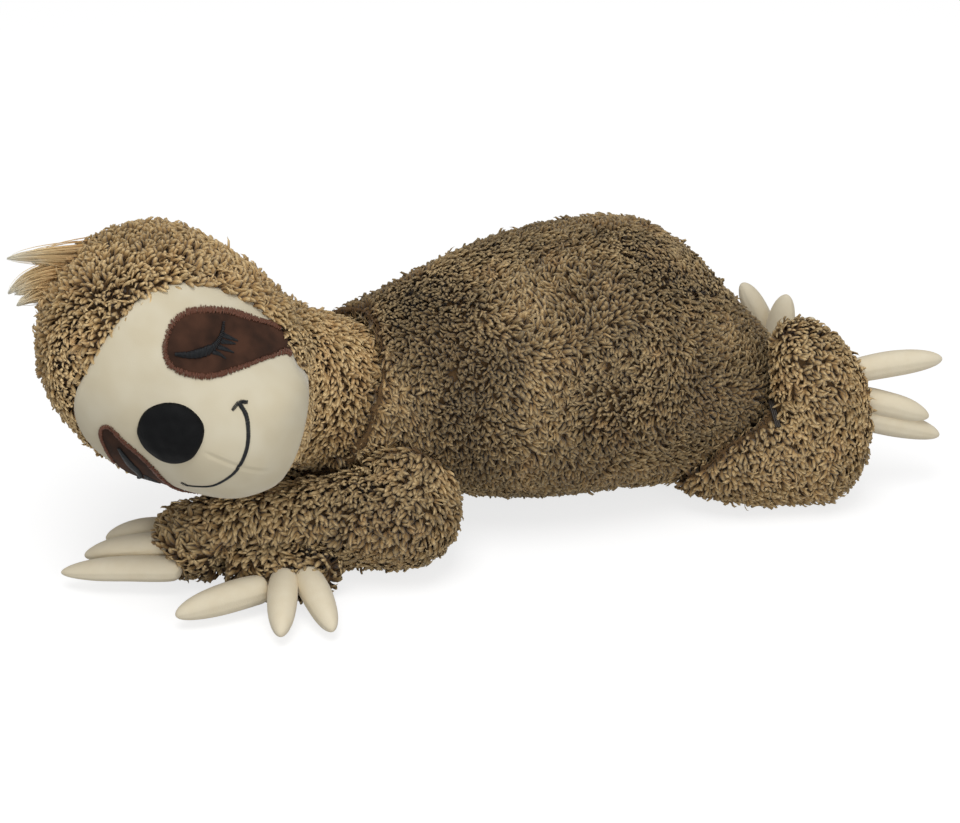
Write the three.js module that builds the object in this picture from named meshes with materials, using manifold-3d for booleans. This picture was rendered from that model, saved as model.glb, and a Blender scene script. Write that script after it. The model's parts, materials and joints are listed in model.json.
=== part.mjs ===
// Plush sloth lying on its belly, its head turned on its side on its folded arms.
// Millimetres, +Z up. The head is at -X, the feet are at +X, and its left side is at -Y.
// The plush pieces are cloth shells with stuffing inside, open at the seam that joins them.

import * as THREE from "three";
import { mergeVertices } from "three/addons/utils/BufferGeometryUtils.js";
import Module from "manifold-3d";

const wasm = await Module();
wasm.setup();

// Cloth, stitches and clearances

const PLUSH_THICKNESS = 6;
const VELBOA_THICKNESS = 2.5;
const PATCH_THICKNESS = 1.5;
const EMBROIDERY_THICKNESS = 1;
const EMBROIDERY_WIDTH = 2.4;
const SEAM_GAP = 0.3;
const TURNING_GAP = 0.8;
const SWEEP_GAP = 1;
const REST_FLAT_DEPTH = 0.5;
const CUT_OVERRUN = 1000;

// Torso

const TORSO_LENGTH = 268;
const TORSO_HALF_HEIGHT = 73;
const TORSO_HALF_WIDTH = 76;
const COLLAR_RADIUS = 46;
const BELLY_SEAM_HEIGHT = 20;
const NECK_FORWARD = 140;
const NECK_SIDESTEP = 8;
const NECK_HEIGHT = 71;

// Head and face

const HEAD_RADIUS = 70.5;
const HEAD_HALF_WIDTH = 62.5;
const HEAD_YAW_DEG = -105;
const HEAD_NOD_DEG = 1.2;
const HEAD_ROLL_DEG = 61.7;
const NECK_LENGTH = 105.7;
const NECK_BALL_RADIUS = 40;
const NECK_ROOT_RADIUS = 52;
const NECK_OPENING_SHARE = 0.8;
const MUZZLE_RADIUS = 50;
const MUZZLE_FORWARD = 28;
const MUZZLE_DROP = 31;
const MUZZLE_BLEND = 10;
const FACE_HALF_WIDTH = 55.5;
const FACE_CROWN_RISE = 41;
const FACE_CHIN_DROP = 84;
const FACE_EDGE_DEPTH = 12;
const NOSE_HALF_WIDTH = 17.5;
const NOSE_HALF_HEIGHT = 17;
const NOSE_DROP = 8;
const NOSE_SWELL = 6;
const EYE_OUT = 40;
const EYE_DROP = 3;
const EYE_PATCH_SIZE = 20;
const EYELID_LENGTH = 24;
const LASH_LENGTH = 7;
const MOUTH_HALF_WIDTH = 28;
const MOUTH_TOP_DROP = 29;
const MOUTH_LOW_DROP = 41.5;
const MOUTH_TICK_LENGTH = 7;
const TUFT_LENGTH = 25;
const TUFT_ROOT_RADIUS = 7;

// Arms: bearings are turned from the X axis toward the Y axis

const SHOULDER_SETBACK = 30;
const SHOULDER_OUT = 27;
const SHOULDER_DROP = 13;
const LEFT_ELBOW_REACH = 38;
const LEFT_ELBOW_BEARING_DEG = -107;
const LEFT_WRIST_REACH = 110;
const LEFT_WRIST_BEARING_DEG = 169.5;
const RIGHT_ELBOW_REACH = 41;
const RIGHT_ELBOW_BEARING_DEG = 106;
const RIGHT_WRIST_REACH = 160;
const RIGHT_WRIST_BEARING_DEG = -119;
const RIGHT_PALM_REACH = 26;
const RIGHT_PALM_BEARING_DEG = -4;
const SHOULDER_RADIUS = 27;
const ELBOW_RADIUS = 29.5;
const LEFT_WRIST_RADIUS = 22;
const RIGHT_WRIST_RADIUS = 14;

// Legs

const HIP_INSET = 66;
const HIP_OUT = 50;
const LEFT_HEEL_REACH = 46;
const LEFT_HEEL_BEARING_DEG = -9;
const LEFT_FOOT_RISE = 37;
const RIGHT_FOOT_REACH = 57;
const RIGHT_FOOT_BEARING_DEG = -8;
const HIP_RADIUS = 32.5;
const HEEL_RADIUS = 35;
const LEFT_FOOT_RADIUS = 28.5;
const RIGHT_FOOT_RADIUS = 22.5;
const TACK_LENGTH = 11;
const TACK_RADIUS = 1.6;
const TACK_TILT_DEG = 55;
const TACK_PLACE_SHARE = 0.36;

// Where two sausages of a limb meet, the first is drawn in so that the second forms the bend.
const TUCK = 1.5;

// Claws

const CLAW_LENGTH = 50;
const CLAW_ROOT_RADIUS = 6.6;
const CLAW_BELLY_RADIUS = 7.4;
const CLAW_TIP_RADIUS = 3.4;
const CLAW_SPACING = 15.2;
const CLAW_BOW = 3;

// Joint ranges

const NECK_LIFT_DEG = 10;
const LEFT_ARM_SWING_DEG = 4;
const RIGHT_ARM_SWING_DEG = 3;
const LEG_LIFT_DEG = 12;
const HAND_CLAW_LIFT_DEG = 14;
const FOOT_CLAW_SWING_DEG = 10;

// Facet counts

const BODY_SIDES = 24;
const LIMB_SIDES = 14;
const CLAW_SIDES = 8;
const HIDDEN_SIDES = 10;
const NOSE_SIDES = 16;
const SWEEP_STEP_DEG = 6;

// Colours from the photograph

const PLUSH_BROWN = 0x8a7350;
const STUFFING_WHITE = 0xf1efe9;
const VELBOA_CREAM = 0xd8cdb4;
const CLAW_CREAM = 0xe2d3b4;
const PATCH_BROWN = 0x6a4034;
const THREAD_BLACK = 0x1a1c20;
const SATIN_BLACK = 0x17171b;
const TUFT_TAN = 0xc8955a;
const THREAD_BROWN = 0x4a3a2a;

// Small tools for solids

const X_AXIS = new THREE.Vector3(1, 0, 0);
const Y_AXIS = new THREE.Vector3(0, 1, 0);
const Z_AXIS = new THREE.Vector3(0, 0, 1);
const radians = THREE.MathUtils.degToRad;

// A step of a given length in the direction that three shares give.
function stepAlong(shares, length) {
  return new THREE.Vector3(...shares).normalize().multiplyScalar(length);
}

function isInsideOut(positions, indices) {
  const a = new THREE.Vector3();
  const b = new THREE.Vector3();
  const c = new THREE.Vector3();
  let volume = 0;
  for (let i = 0; i < indices.length; i += 3) {
    a.fromArray(positions, 3 * indices[i]);
    b.fromArray(positions, 3 * indices[i + 1]);
    c.fromArray(positions, 3 * indices[i + 2]);
    volume += a.dot(b.cross(c));
  }
  return volume < 0;
}

function solid(geometry) {
  const bare = geometry.clone();
  bare.deleteAttribute("normal");
  bare.deleteAttribute("uv");
  const merged = mergeVertices(bare);
  const positions = Float32Array.from(merged.attributes.position.array);
  const indices = Uint32Array.from(merged.index.array);
  if (isInsideOut(positions, indices)) {
    for (let i = 0; i < indices.length; i += 3) {
      [indices[i], indices[i + 1]] = [indices[i + 1], indices[i]];
    }
  }
  return new wasm.Manifold(new wasm.Mesh({ numProp: 3, vertProperties: positions, triVerts: indices }));
}

function geometryOf(body) {
  const mesh = body.getMesh();
  const stride = mesh.numProp;
  const positions = new Float32Array((mesh.vertProperties.length / stride) * 3);
  for (let i = 0; i < positions.length / 3; i += 1) {
    positions.set(mesh.vertProperties.subarray(i * stride, i * stride + 3), 3 * i);
  }
  const geometry = new THREE.BufferGeometry();
  geometry.setAttribute("position", new THREE.BufferAttribute(positions, 3));
  geometry.setIndex(new THREE.BufferAttribute(Uint32Array.from(mesh.triVerts), 1));
  return geometry;
}

function joined(bodies) {
  return bodies.reduce((sum, body) => sum.add(body));
}

function cutBy(body, cutters) {
  return cutters.reduce((rest, cutter) => rest.subtract(cutter), body);
}

function turned(body, pivot, axis, degrees) {
  const matrix = new THREE.Matrix4()
    .makeTranslation(pivot)
    .multiply(new THREE.Matrix4().makeRotationAxis(axis, radians(degrees)))
    .multiply(new THREE.Matrix4().makeTranslation(pivot.clone().negate()));
  return solid(geometryOf(body).applyMatrix4(matrix));
}

function swept(body, joint, direction) {
  const steps = Math.max(1, Math.ceil(joint.range / SWEEP_STEP_DEG));
  const copies = [body];
  for (let step = 1; step <= steps; step += 1) {
    copies.push(turned(body, joint.pivot, joint.axis, (direction * joint.range * step) / steps));
  }
  return joined(copies);
}

function ball(centre, radius, sides) {
  const geometry = new THREE.SphereGeometry(radius, sides, Math.round(sides / 2));
  return solid(geometry.rotateX(Math.PI / 2).translate(centre.x, centre.y, centre.z));
}

// A tapered sausage: the outer surface of two balls and the cone that touches both.
function sausage(from, to, fromRadius, toRadius, sides) {
  const along = to.clone().sub(from);
  const length = along.length();
  const lean = Math.asin((fromRadius - toRadius) / length);
  const arcSteps = Math.round(sides / 4);
  const profile = [];
  for (let step = 0; step <= arcSteps; step += 1) {
    const angle = THREE.MathUtils.lerp(-Math.PI / 2, lean, step / arcSteps);
    profile.push(new THREE.Vector2(fromRadius * Math.cos(angle), fromRadius * Math.sin(angle)));
  }
  for (let step = 0; step <= arcSteps; step += 1) {
    const angle = THREE.MathUtils.lerp(lean, Math.PI / 2, step / arcSteps);
    profile.push(new THREE.Vector2(toRadius * Math.cos(angle), length + toRadius * Math.sin(angle)));
  }
  profile[0].x = 0;
  profile[profile.length - 1].x = 0;
  const geometry = new THREE.LatheGeometry(profile, sides);
  const turn = new THREE.Quaternion().setFromUnitVectors(Y_AXIS, along.normalize());
  return solid(geometry.applyQuaternion(turn).translate(from.x, from.y, from.z));
}

// Skins a row of rings, each a list of points, between a first and a last point.
function ringSkin(firstPoint, rings, lastPoint) {
  const sides = rings[0].length;
  const points = [firstPoint, ...rings.flat(), lastPoint];
  const last = points.length - 1;
  const indices = [];
  const at = (ring, side) => 1 + ring * sides + (side % sides);
  for (let side = 0; side < sides; side += 1) {
    indices.push(0, at(0, side + 1), at(0, side));
    for (let ring = 0; ring + 1 < rings.length; ring += 1) {
      indices.push(at(ring, side), at(ring, side + 1), at(ring + 1, side));
      indices.push(at(ring, side + 1), at(ring + 1, side + 1), at(ring + 1, side));
    }
    indices.push(last, at(rings.length - 1, side), at(rings.length - 1, side + 1));
  }
  const geometry = new THREE.BufferGeometry();
  geometry.setAttribute("position", new THREE.Float32BufferAttribute(points.flatMap((p) => p.toArray()), 3));
  geometry.setIndex(indices);
  return solid(geometry);
}

// Torso: rings of ovals that swell from the collar to the belly and close at the rump.
// Each row: place along the torso, half height, half width and height of the underside,
// as shares of the torso's length, half height, half width and half height.

const torsoRingShares = [
  [0, 0.63, 0.605, 0.343],
  [0.06, 0.655, 0.64, 0.305],
  [0.13, 0.74, 0.73, 0.235],
  [0.23, 0.875, 0.87, 0.115],
  [0.33, 0.95, 0.96, 0.035],
  [0.45, 0.99, 1, -0.005],
  [0.59, 1, 1, -0.007],
  [0.71, 0.885, 0.92, -0.007],
  [0.82, 0.685, 0.76, -0.005],
  [0.9, 0.475, 0.55, 0.02],
  [0.96, 0.28, 0.34, 0.09],
  [0.99, 0.12, 0.15, 0.2],
];

const TORSO_FRONT = new THREE.Vector3(-NECK_FORWARD, -NECK_SIDESTEP, NECK_HEIGHT);

function torsoForm(grow, sides) {
  const heights = torsoRingShares.map(
    ([along, high, , under]) => new THREE.Vector3(along, high, under),
  );
  const widths = torsoRingShares.map(([along, , wide]) => new THREE.Vector3(along, wide, 0));
  const heightCurve = new THREE.CatmullRomCurve3(heights);
  const widthCurve = new THREE.CatmullRomCurve3(widths);
  const rings = [];
  const capCount = Math.round(sides / 6);
  for (let step = 1; step < capCount; step += 1) {
    const angle = (Math.PI / 2) * (step / capCount);
    const radius = (COLLAR_RADIUS + grow) * Math.sin(angle);
    const ring = [];
    for (let i = 0; i < sides; i += 1) {
      const turn = (2 * Math.PI * i) / sides;
      const back = -(COLLAR_RADIUS + grow) * Math.cos(angle);
      ring.push(new THREE.Vector3(back, radius * Math.cos(turn), radius * Math.sin(turn)).add(TORSO_FRONT));
    }
    rings.push(ring);
  }
  const ringCount = Math.round(0.7 * sides);
  for (let step = 0; step <= ringCount; step += 1) {
    const share = step / ringCount;
    const side = heightCurve.getPoint(share);
    const wide = widthCurve.getPoint(share).y * TORSO_HALF_WIDTH + grow;
    const high = side.y * TORSO_HALF_HEIGHT + grow;
    const centre = new THREE.Vector3(
      TORSO_FRONT.x + side.x * (TORSO_LENGTH + grow),
      TORSO_FRONT.y * (1 - side.x),
      (side.z + side.y) * TORSO_HALF_HEIGHT,
    );
    const ring = [];
    for (let i = 0; i < sides; i += 1) {
      const angle = (2 * Math.PI * i) / sides;
      const spoke = new THREE.Vector3(0, wide * Math.cos(angle), high * Math.sin(angle));
      ring.push(spoke.add(centre));
    }
    rings.push(ring);
  }
  const endHeight = rings[rings.length - 1].reduce((sum, point) => sum + point.z, 0) / sides;
  const front = TORSO_FRONT.clone().addScaledVector(X_AXIS, -COLLAR_RADIUS - grow);
  const rump = new THREE.Vector3(TORSO_FRONT.x + TORSO_LENGTH + grow, 0, endHeight);
  return ringSkin(front, rings, rump);
}

// Head: a round skull blended with a muzzle that swells forward and down.
// Its own frame has the nose along x, the sloth's left along y and the crown along z.

const neckShares = [-0.861, -0.208, 0.4635];
const HEAD_CENTRE = TORSO_FRONT.clone().add(stepAlong(neckShares, NECK_LENGTH));

const headPlace = new THREE.Matrix4()
  .makeTranslation(HEAD_CENTRE)
  .multiply(
    new THREE.Matrix4().makeRotationFromEuler(
      new THREE.Euler(radians(HEAD_ROLL_DEG), radians(HEAD_NOD_DEG), radians(HEAD_YAW_DEG), "ZYX"),
    ),
  );
const MUZZLE_CENTRE = new THREE.Vector3(MUZZLE_FORWARD, 0, -MUZZLE_DROP);

function headRadiusAlong(direction) {
  const reach = direction.dot(MUZZLE_CENTRE);
  const inside = MUZZLE_RADIUS * MUZZLE_RADIUS - MUZZLE_CENTRE.lengthSq();
  const muzzle = reach + Math.sqrt(reach * reach + inside);
  const blend = Math.max(0, 1 - Math.abs(muzzle - HEAD_RADIUS) / MUZZLE_BLEND);
  return Math.max(HEAD_RADIUS, muzzle) + (MUZZLE_BLEND * blend * blend) / 4;
}

function skullForm(grow, sides = BODY_SIDES) {
  const geometry = new THREE.SphereGeometry(1, sides, Math.round(0.6 * sides));
  geometry.rotateZ(-Math.PI / 2);
  const places = geometry.attributes.position;
  const spot = new THREE.Vector3();
  for (let i = 0; i < places.count; i += 1) {
    spot.fromBufferAttribute(places, i).normalize();
    spot.multiplyScalar(headRadiusAlong(spot) + grow);
    places.setXYZ(i, spot.x, (spot.y * (HEAD_HALF_WIDTH + grow)) / (HEAD_RADIUS + grow), spot.z);
  }
  return solid(geometry.applyMatrix4(headPlace));
}

function neckCone(grow, sides) {
  return sausage(
    HEAD_CENTRE,
    TORSO_FRONT,
    NECK_ROOT_RADIUS + grow,
    NECK_BALL_RADIUS - TURNING_GAP + grow,
    sides,
  );
}

function neckForm(grow, sides) {
  return neckCone(grow, sides).add(ball(TORSO_FRONT, NECK_BALL_RADIUS + grow, sides));
}

function headForm(grow, sides) {
  return skullForm(grow, sides).add(neckForm(grow, sides));
}

// Everything on the side of a plane that its direction points to.
function halfSpace(point, direction) {
  const geometry = new THREE.BoxGeometry(CUT_OVERRUN, CUT_OVERRUN, CUT_OVERRUN);
  geometry.translate(0, 0, CUT_OVERRUN / 2);
  const turn = new THREE.Quaternion().setFromUnitVectors(Z_AXIS, direction.clone().normalize());
  return solid(geometry.applyQuaternion(turn).translate(point.x, point.y, point.z));
}

// A column along the nose direction over an outline drawn in the face's plane:
// outline x is the sloth's left, outline y is toward the crown.
function faceColumn(outline, nearDepth) {
  const shape = new THREE.Shape(outline);
  const depth = 2 * HEAD_RADIUS;
  const geometry = new THREE.ExtrudeGeometry(shape, { depth, bevelEnabled: false, steps: 1 });
  const toFace = new THREE.Matrix4().makeBasis(Y_AXIS, Z_AXIS, X_AXIS);
  geometry.applyMatrix4(toFace).translate(nearDepth, 0, 0);
  return solid(geometry.applyMatrix4(headPlace));
}

function smoothOutline(points, count) {
  return new THREE.SplineCurve([...points, points[0]]).getPoints(count).slice(0, -1);
}

// Half the face panel's edge from the crown to the chin.
// Rows: out and up, as shares of the half width and of the crown rise or the chin drop.
const faceEdgeShares = [
  [0, 1],
  [0.29, 0.985],
  [0.69, 0.82],
  [0.87, 0.55],
  [0.98, 0.17],
  [1, -0.155],
  [0.9, -0.42],
  [0.75, -0.64],
  [0.64, -0.81],
  [0.36, -0.95],
  [0, -1],
];

function faceOutline(grow) {
  const half = faceEdgeShares.map(([out, up]) => {
    const rise = up > 0 ? up * FACE_CROWN_RISE : up * FACE_CHIN_DROP;
    return new THREE.Vector2(out * FACE_HALF_WIDTH, rise);
  });
  const other = half.slice(1, -1).reverse().map((point) => new THREE.Vector2(-point.x, point.y));
  const outline = smoothOutline([...half, ...other], 2 * BODY_SIDES);
  return outline.map((point) => {
    const length = point.length();
    return point.clone().multiplyScalar((length + grow) / length);
  });
}

const FACE_RECESS = PLUSH_THICKNESS - VELBOA_THICKNESS;

function faceLayer(column, bottom, top) {
  const outer = skullForm(top - FACE_RECESS);
  const inner = skullForm(bottom - FACE_RECESS);
  return column.intersect(outer).subtract(inner);
}

// Eye patch: a round lobe with a tail that runs down the edge of the face.
// Its points are shares of the patch size, from the eye, out and up.

const eyePatchShares = [
  [-0.4, 0.86],
  [0.1, 0.89],
  [0.52, 0.4],
  [0.74, -0.47],
  [0.62, -1.5],
  [0.3, -2.5],
  [0.03, -2.2],
  [0.03, -1.6],
  [-0.27, -0.87],
  [-0.6, -0.38],
  [-0.74, 0.26],
];

function eyePatchOutline(side) {
  const points = eyePatchShares.map(
    ([out, up]) =>
      new THREE.Vector2(side * (EYE_OUT + out * EYE_PATCH_SIZE), up * EYE_PATCH_SIZE - EYE_DROP),
  );
  return smoothOutline(points, 3 * points.length);
}

function eyePatch(side) {
  const inPanel = faceColumn(faceOutline(-EMBROIDERY_WIDTH), FACE_EDGE_DEPTH);
  const column = faceColumn(eyePatchOutline(side), FACE_EDGE_DEPTH).intersect(inPanel);
  return faceLayer(column, SEAM_GAP, SEAM_GAP + PATCH_THICKNESS);
}

// A band of even width along a curve, for stitched lines.
function bandColumn(curve, count, startWidth, endWidth) {
  const left = [];
  const right = [];
  for (let step = 0; step <= count; step += 1) {
    const share = step / count;
    const spot = curve.getPoint(share);
    const along = curve.getTangent(share);
    const half = THREE.MathUtils.lerp(startWidth, endWidth, share) / 2;
    const across = new THREE.Vector2(-along.y, along.x).multiplyScalar(half);
    left.push(spot.clone().add(across));
    right.push(spot.clone().sub(across));
  }
  return faceColumn([...left, ...right.reverse()], FACE_EDGE_DEPTH);
}

// Closed eyelid: an arc that sags toward the chin, with four lashes below it.
// Its points and the lashes' directions are shares of the eyelid's length and the lash length.

const eyelidShares = [
  [-0.33, 0.42],
  [-0.28, 0.14],
  [-0.13, -0.11],
  [0.11, -0.35],
  [0.37, -0.29],
];
const lashShares = [
  [0.42, 0.12, -1],
  [0.6, 0.1, -1],
  [0.78, 0.15, -1],
  [0.97, 0.3, -0.8],
];

function eyelid(side) {
  const place = ([out, up]) =>
    new THREE.Vector2(side * (EYE_OUT + out * EYELID_LENGTH), up * EYELID_LENGTH - EYE_DROP);
  const arc = new THREE.SplineCurve(eyelidShares.map(place));
  const columns = [bandColumn(arc, 10, EMBROIDERY_WIDTH / 2, EMBROIDERY_WIDTH)];
  for (const [along, out, up] of lashShares) {
    const root = arc.getPoint(along);
    const tip = root.clone().add(new THREE.Vector2(side * out, up).multiplyScalar(LASH_LENGTH));
    columns.push(bandColumn(new THREE.LineCurve(root, tip), 1, EMBROIDERY_WIDTH, EMBROIDERY_WIDTH / 2));
  }
  const bottom = SEAM_GAP + PATCH_THICKNESS + SEAM_GAP;
  return faceLayer(joined(columns), bottom, bottom + EMBROIDERY_THICKNESS);
}

// Mouth: one smile line with a short tick across each end.
// Its points are shares of the half width and of the drop from the ends to the middle.

const smileShares = [
  [1, 0],
  [0.62, 0.73],
  [0, 1],
];

function mouth() {
  const place = (side, [out, down]) =>
    new THREE.Vector2(
      side * out * MOUTH_HALF_WIDTH,
      -THREE.MathUtils.lerp(MOUTH_TOP_DROP, MOUTH_LOW_DROP, down),
    );
  const left = smileShares.map((share) => place(1, share));
  const right = smileShares.slice(0, -1).reverse().map((share) => place(-1, share));
  const smile = new THREE.SplineCurve([...left, ...right]);
  const columns = [bandColumn(smile, 16, EMBROIDERY_WIDTH, EMBROIDERY_WIDTH)];
  for (const end of [0, 1]) {
    const along = smile.getTangent(end);
    const half = new THREE.Vector2(-along.y, along.x).multiplyScalar(MOUTH_TICK_LENGTH / 2);
    const spot = smile.getPoint(end);
    const tick = new THREE.LineCurve(spot.clone().sub(half), spot.clone().add(half));
    columns.push(bandColumn(tick, 1, EMBROIDERY_WIDTH, EMBROIDERY_WIDTH));
  }
  return faceLayer(joined(columns), SEAM_GAP, SEAM_GAP + EMBROIDERY_THICKNESS);
}

function nose() {
  const geometry = new THREE.SphereGeometry(1, NOSE_SIDES, NOSE_SIDES / 2);
  const toward = new THREE.Vector3(HEAD_RADIUS, 0, -NOSE_DROP).normalize();
  const surface = headRadiusAlong(toward) - FACE_RECESS;
  geometry.rotateZ(-Math.PI / 2);
  geometry.scale(2 * NOSE_SWELL, NOSE_HALF_WIDTH, NOSE_HALF_HEIGHT);
  geometry.translate(surface - NOSE_SWELL, 0, -NOSE_DROP);
  const pad = solid(geometry.applyMatrix4(headPlace));
  return pad.subtract(skullForm(SEAM_GAP - FACE_RECESS));
}

// Hair tuft: four pointed locks on the crown that sweep forward.
// Rows: the root's forward and left, and the tip's step forward, left and up from it,
// as shares of the tuft's length.

const tuftLockShares = [
  [-0.6, 0.75, -0.1, -0.3, 0.8],
  [-0.25, 0.5, 0.1, -0.25, 1],
  [0.1, 0.4, 0.35, -0.35, 0.85],
  [0.45, 0.35, 0.5, -0.45, 0.6],
];

function crownPoint(forward, left) {
  const up = Math.sqrt(HEAD_RADIUS * HEAD_RADIUS - forward * forward - left * left);
  const direction = new THREE.Vector3(forward, left, up).normalize();
  const point = direction.clone().multiplyScalar(headRadiusAlong(direction));
  point.y *= HEAD_HALF_WIDTH / HEAD_RADIUS;
  return point;
}

function hairTuft() {
  const locks = tuftLockShares.map(([forward, left, stepForward, stepLeft, stepUp]) => {
    const root = crownPoint(forward * TUFT_LENGTH, left * TUFT_LENGTH);
    const step = new THREE.Vector3(stepForward, stepLeft, stepUp).multiplyScalar(TUFT_LENGTH);
    const tip = root.clone().add(step);
    root.applyMatrix4(headPlace);
    tip.applyMatrix4(headPlace);
    return sausage(root, tip, TUFT_ROOT_RADIUS, EMBROIDERY_THICKNESS, CLAW_SIDES);
  });
  return joined(locks).subtract(skullForm(SEAM_GAP));
}

// Claws: horns with a round root, curving down to a blunt tip

function clawRadius(share) {
  const swell = THREE.MathUtils.lerp(CLAW_ROOT_RADIUS, CLAW_BELLY_RADIUS, Math.sin(Math.PI * share));
  return THREE.MathUtils.lerp(swell, CLAW_TIP_RADIUS, share * share);
}

function claw(root, tip) {
  const middle = root.clone().lerp(tip, 0.5);
  middle.z += CLAW_BOW;
  const curve = new THREE.QuadraticBezierCurve3(root, middle, tip);
  const start = curve.getTangent(0);
  const finish = curve.getTangent(1);
  const rootRadius = clawRadius(0);
  const tipRadius = clawRadius(1);
  const rootSteps = 2;
  const bodySteps = 5;
  const stations = [];
  for (let step = 1; step <= rootSteps; step += 1) {
    const angle = (Math.PI / 2) * (step / rootSteps);
    const spot = root.clone().addScaledVector(start, -rootRadius * Math.cos(angle));
    stations.push({ spot, along: start, radius: rootRadius * Math.sin(angle) });
  }
  for (let step = 1; step <= bodySteps; step += 1) {
    const share = step / bodySteps;
    const radius = clawRadius(share);
    stations.push({ spot: curve.getPoint(share), along: curve.getTangent(share), radius });
  }
  const shoulder = tip.clone().addScaledVector(finish, tipRadius * Math.SQRT1_2);
  stations.push({ spot: shoulder, along: finish, radius: tipRadius * Math.SQRT1_2 });
  const rings = stations.map(({ spot, along, radius }) => {
    const turn = new THREE.Quaternion().setFromUnitVectors(Z_AXIS, along);
    const ring = [];
    for (let i = 0; i < CLAW_SIDES; i += 1) {
      const angle = (2 * Math.PI * i) / CLAW_SIDES;
      const spoke = new THREE.Vector3(radius * Math.cos(angle), radius * Math.sin(angle), 0);
      ring.push(spoke.applyQuaternion(turn).add(spot));
    }
    return ring;
  });
  const first = root.clone().addScaledVector(start, -rootRadius);
  const last = tip.clone().addScaledVector(finish, tipRadius);
  return ringSkin(first, rings, last);
}

// Limb joints. A limb's end rests on the floor, pressed a little flat there.

function restingEnd(from, reach, bearingDeg, radius) {
  const bearing = radians(bearingDeg);
  return new THREE.Vector3(
    from.x + reach * Math.cos(bearing),
    from.y + reach * Math.sin(bearing),
    radius - REST_FLAT_DEPTH,
  );
}

function shoulder(side) {
  const step = new THREE.Vector3(SHOULDER_SETBACK, side * SHOULDER_OUT, -SHOULDER_DROP);
  return step.add(TORSO_FRONT);
}

function hip(side) {
  const along = TORSO_FRONT.x + TORSO_LENGTH - HIP_INSET;
  return new THREE.Vector3(along, side * HIP_OUT, HIP_RADIUS - REST_FLAT_DEPTH);
}

const leftShoulder = shoulder(-1);
const leftElbow = restingEnd(leftShoulder, LEFT_ELBOW_REACH, LEFT_ELBOW_BEARING_DEG, ELBOW_RADIUS);
const leftWrist = restingEnd(leftElbow, LEFT_WRIST_REACH, LEFT_WRIST_BEARING_DEG, LEFT_WRIST_RADIUS);
const rightShoulder = shoulder(1);
const rightElbow = restingEnd(rightShoulder, RIGHT_ELBOW_REACH, RIGHT_ELBOW_BEARING_DEG, ELBOW_RADIUS);
const rightWrist = restingEnd(
  rightElbow, RIGHT_WRIST_REACH, RIGHT_WRIST_BEARING_DEG, RIGHT_WRIST_RADIUS,
);
const rightPalm = restingEnd(rightWrist, RIGHT_PALM_REACH, RIGHT_PALM_BEARING_DEG, RIGHT_WRIST_RADIUS);
const leftHip = hip(-1);
const leftHeel = restingEnd(leftHip, LEFT_HEEL_REACH, LEFT_HEEL_BEARING_DEG, HEEL_RADIUS);
const leftFoot = leftHeel.clone().addScaledVector(Z_AXIS, LEFT_FOOT_RISE);
const rightHip = hip(1);
const rightFoot = restingEnd(rightHip, RIGHT_FOOT_REACH, RIGHT_FOOT_BEARING_DEG, RIGHT_FOOT_RADIUS);

// The three claws of a paw. The middle root is set off from the limb's end by shares of its
// radius, the roots stand in a row in the row's direction, which is the hinge line, and each
// tip is set off from its root by shares of the claw length.

const paws = {
  left_hand: {
    end: leftWrist,
    endRadius: LEFT_WRIST_RADIUS,
    middleShares: [-0.59, 0.14, -0.16],
    rowShares: [0, -0.92, -0.4],
    tipShares: [[-0.45, 0.18, -0.08], [-0.69, 0.29, -0.1], [-0.99, 0.37, -0.07]],
    range: HAND_CLAW_LIFT_DEG,
    hinge: -1,
  },
  right_hand: {
    end: rightPalm,
    endRadius: RIGHT_WRIST_RADIUS,
    middleShares: [-0.93, -0.64, 0],
    rowShares: [0.99, -0.1, 0],
    tipShares: [[-0.74, -0.11, -0.13], [-0.18, -0.64, -0.13], [-0.02, -0.65, -0.13]],
    range: HAND_CLAW_LIFT_DEG,
    hinge: -1,
  },
  left_foot: {
    end: leftFoot,
    endRadius: LEFT_FOOT_RADIUS,
    middleShares: [0.82, -0.14, -0.44],
    rowShares: [0, 0, -1],
    tipShares: [[0.84, -0.06, 0.06], [0.68, -0.16, -0.22], [0.78, -0.14, -0.24]],
    range: FOOT_CLAW_SWING_DEG,
    hinge: 1,
  },
  right_foot: {
    end: rightFoot,
    endRadius: RIGHT_FOOT_RADIUS,
    middleShares: [0.2, 0, 0.53],
    rowShares: [-0.3, 0.95, 0],
    tipShares: [[0.27, 0.08, 0.38], [0.1, 0.1, 0.56], [-0.2, 0.16, 0.58]],
    range: FOOT_CLAW_SWING_DEG,
    hinge: 1,
  },
};

function pawMiddle(paw) {
  return new THREE.Vector3(...paw.middleShares).multiplyScalar(paw.endRadius).add(paw.end);
}

function clawRoot(paw, index) {
  return pawMiddle(paw).add(stepAlong(paw.rowShares, (index - 1) * CLAW_SPACING));
}

function clawTip(paw, index) {
  const reach = new THREE.Vector3(...paw.tipShares[index]).multiplyScalar(CLAW_LENGTH);
  return reach.add(clawRoot(paw, index));
}

function clawForms(paw) {
  return paw.tipShares.map((_, index) => claw(clawRoot(paw, index), clawTip(paw, index)));
}

// Joints: the pivot, axis and range that every clearance below follows

const joints = {
  neck: { pivot: TORSO_FRONT, axis: Y_AXIS, range: NECK_LIFT_DEG },
  leftShoulder: { pivot: leftShoulder, axis: Z_AXIS, range: LEFT_ARM_SWING_DEG },
  rightShoulder: { pivot: rightShoulder, axis: Z_AXIS.clone().negate(), range: RIGHT_ARM_SWING_DEG },
  leftHip: { pivot: leftHip, axis: Y_AXIS.clone().negate(), range: LEG_LIFT_DEG },
  rightHip: { pivot: rightHip, axis: Y_AXIS.clone().negate(), range: LEG_LIFT_DEG },
};

// A faceted socket is drawn larger, so that the middles of its flat sides clear the claw.
const socketShare = 1 / Math.cos(Math.PI / CLAW_SIDES);

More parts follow.
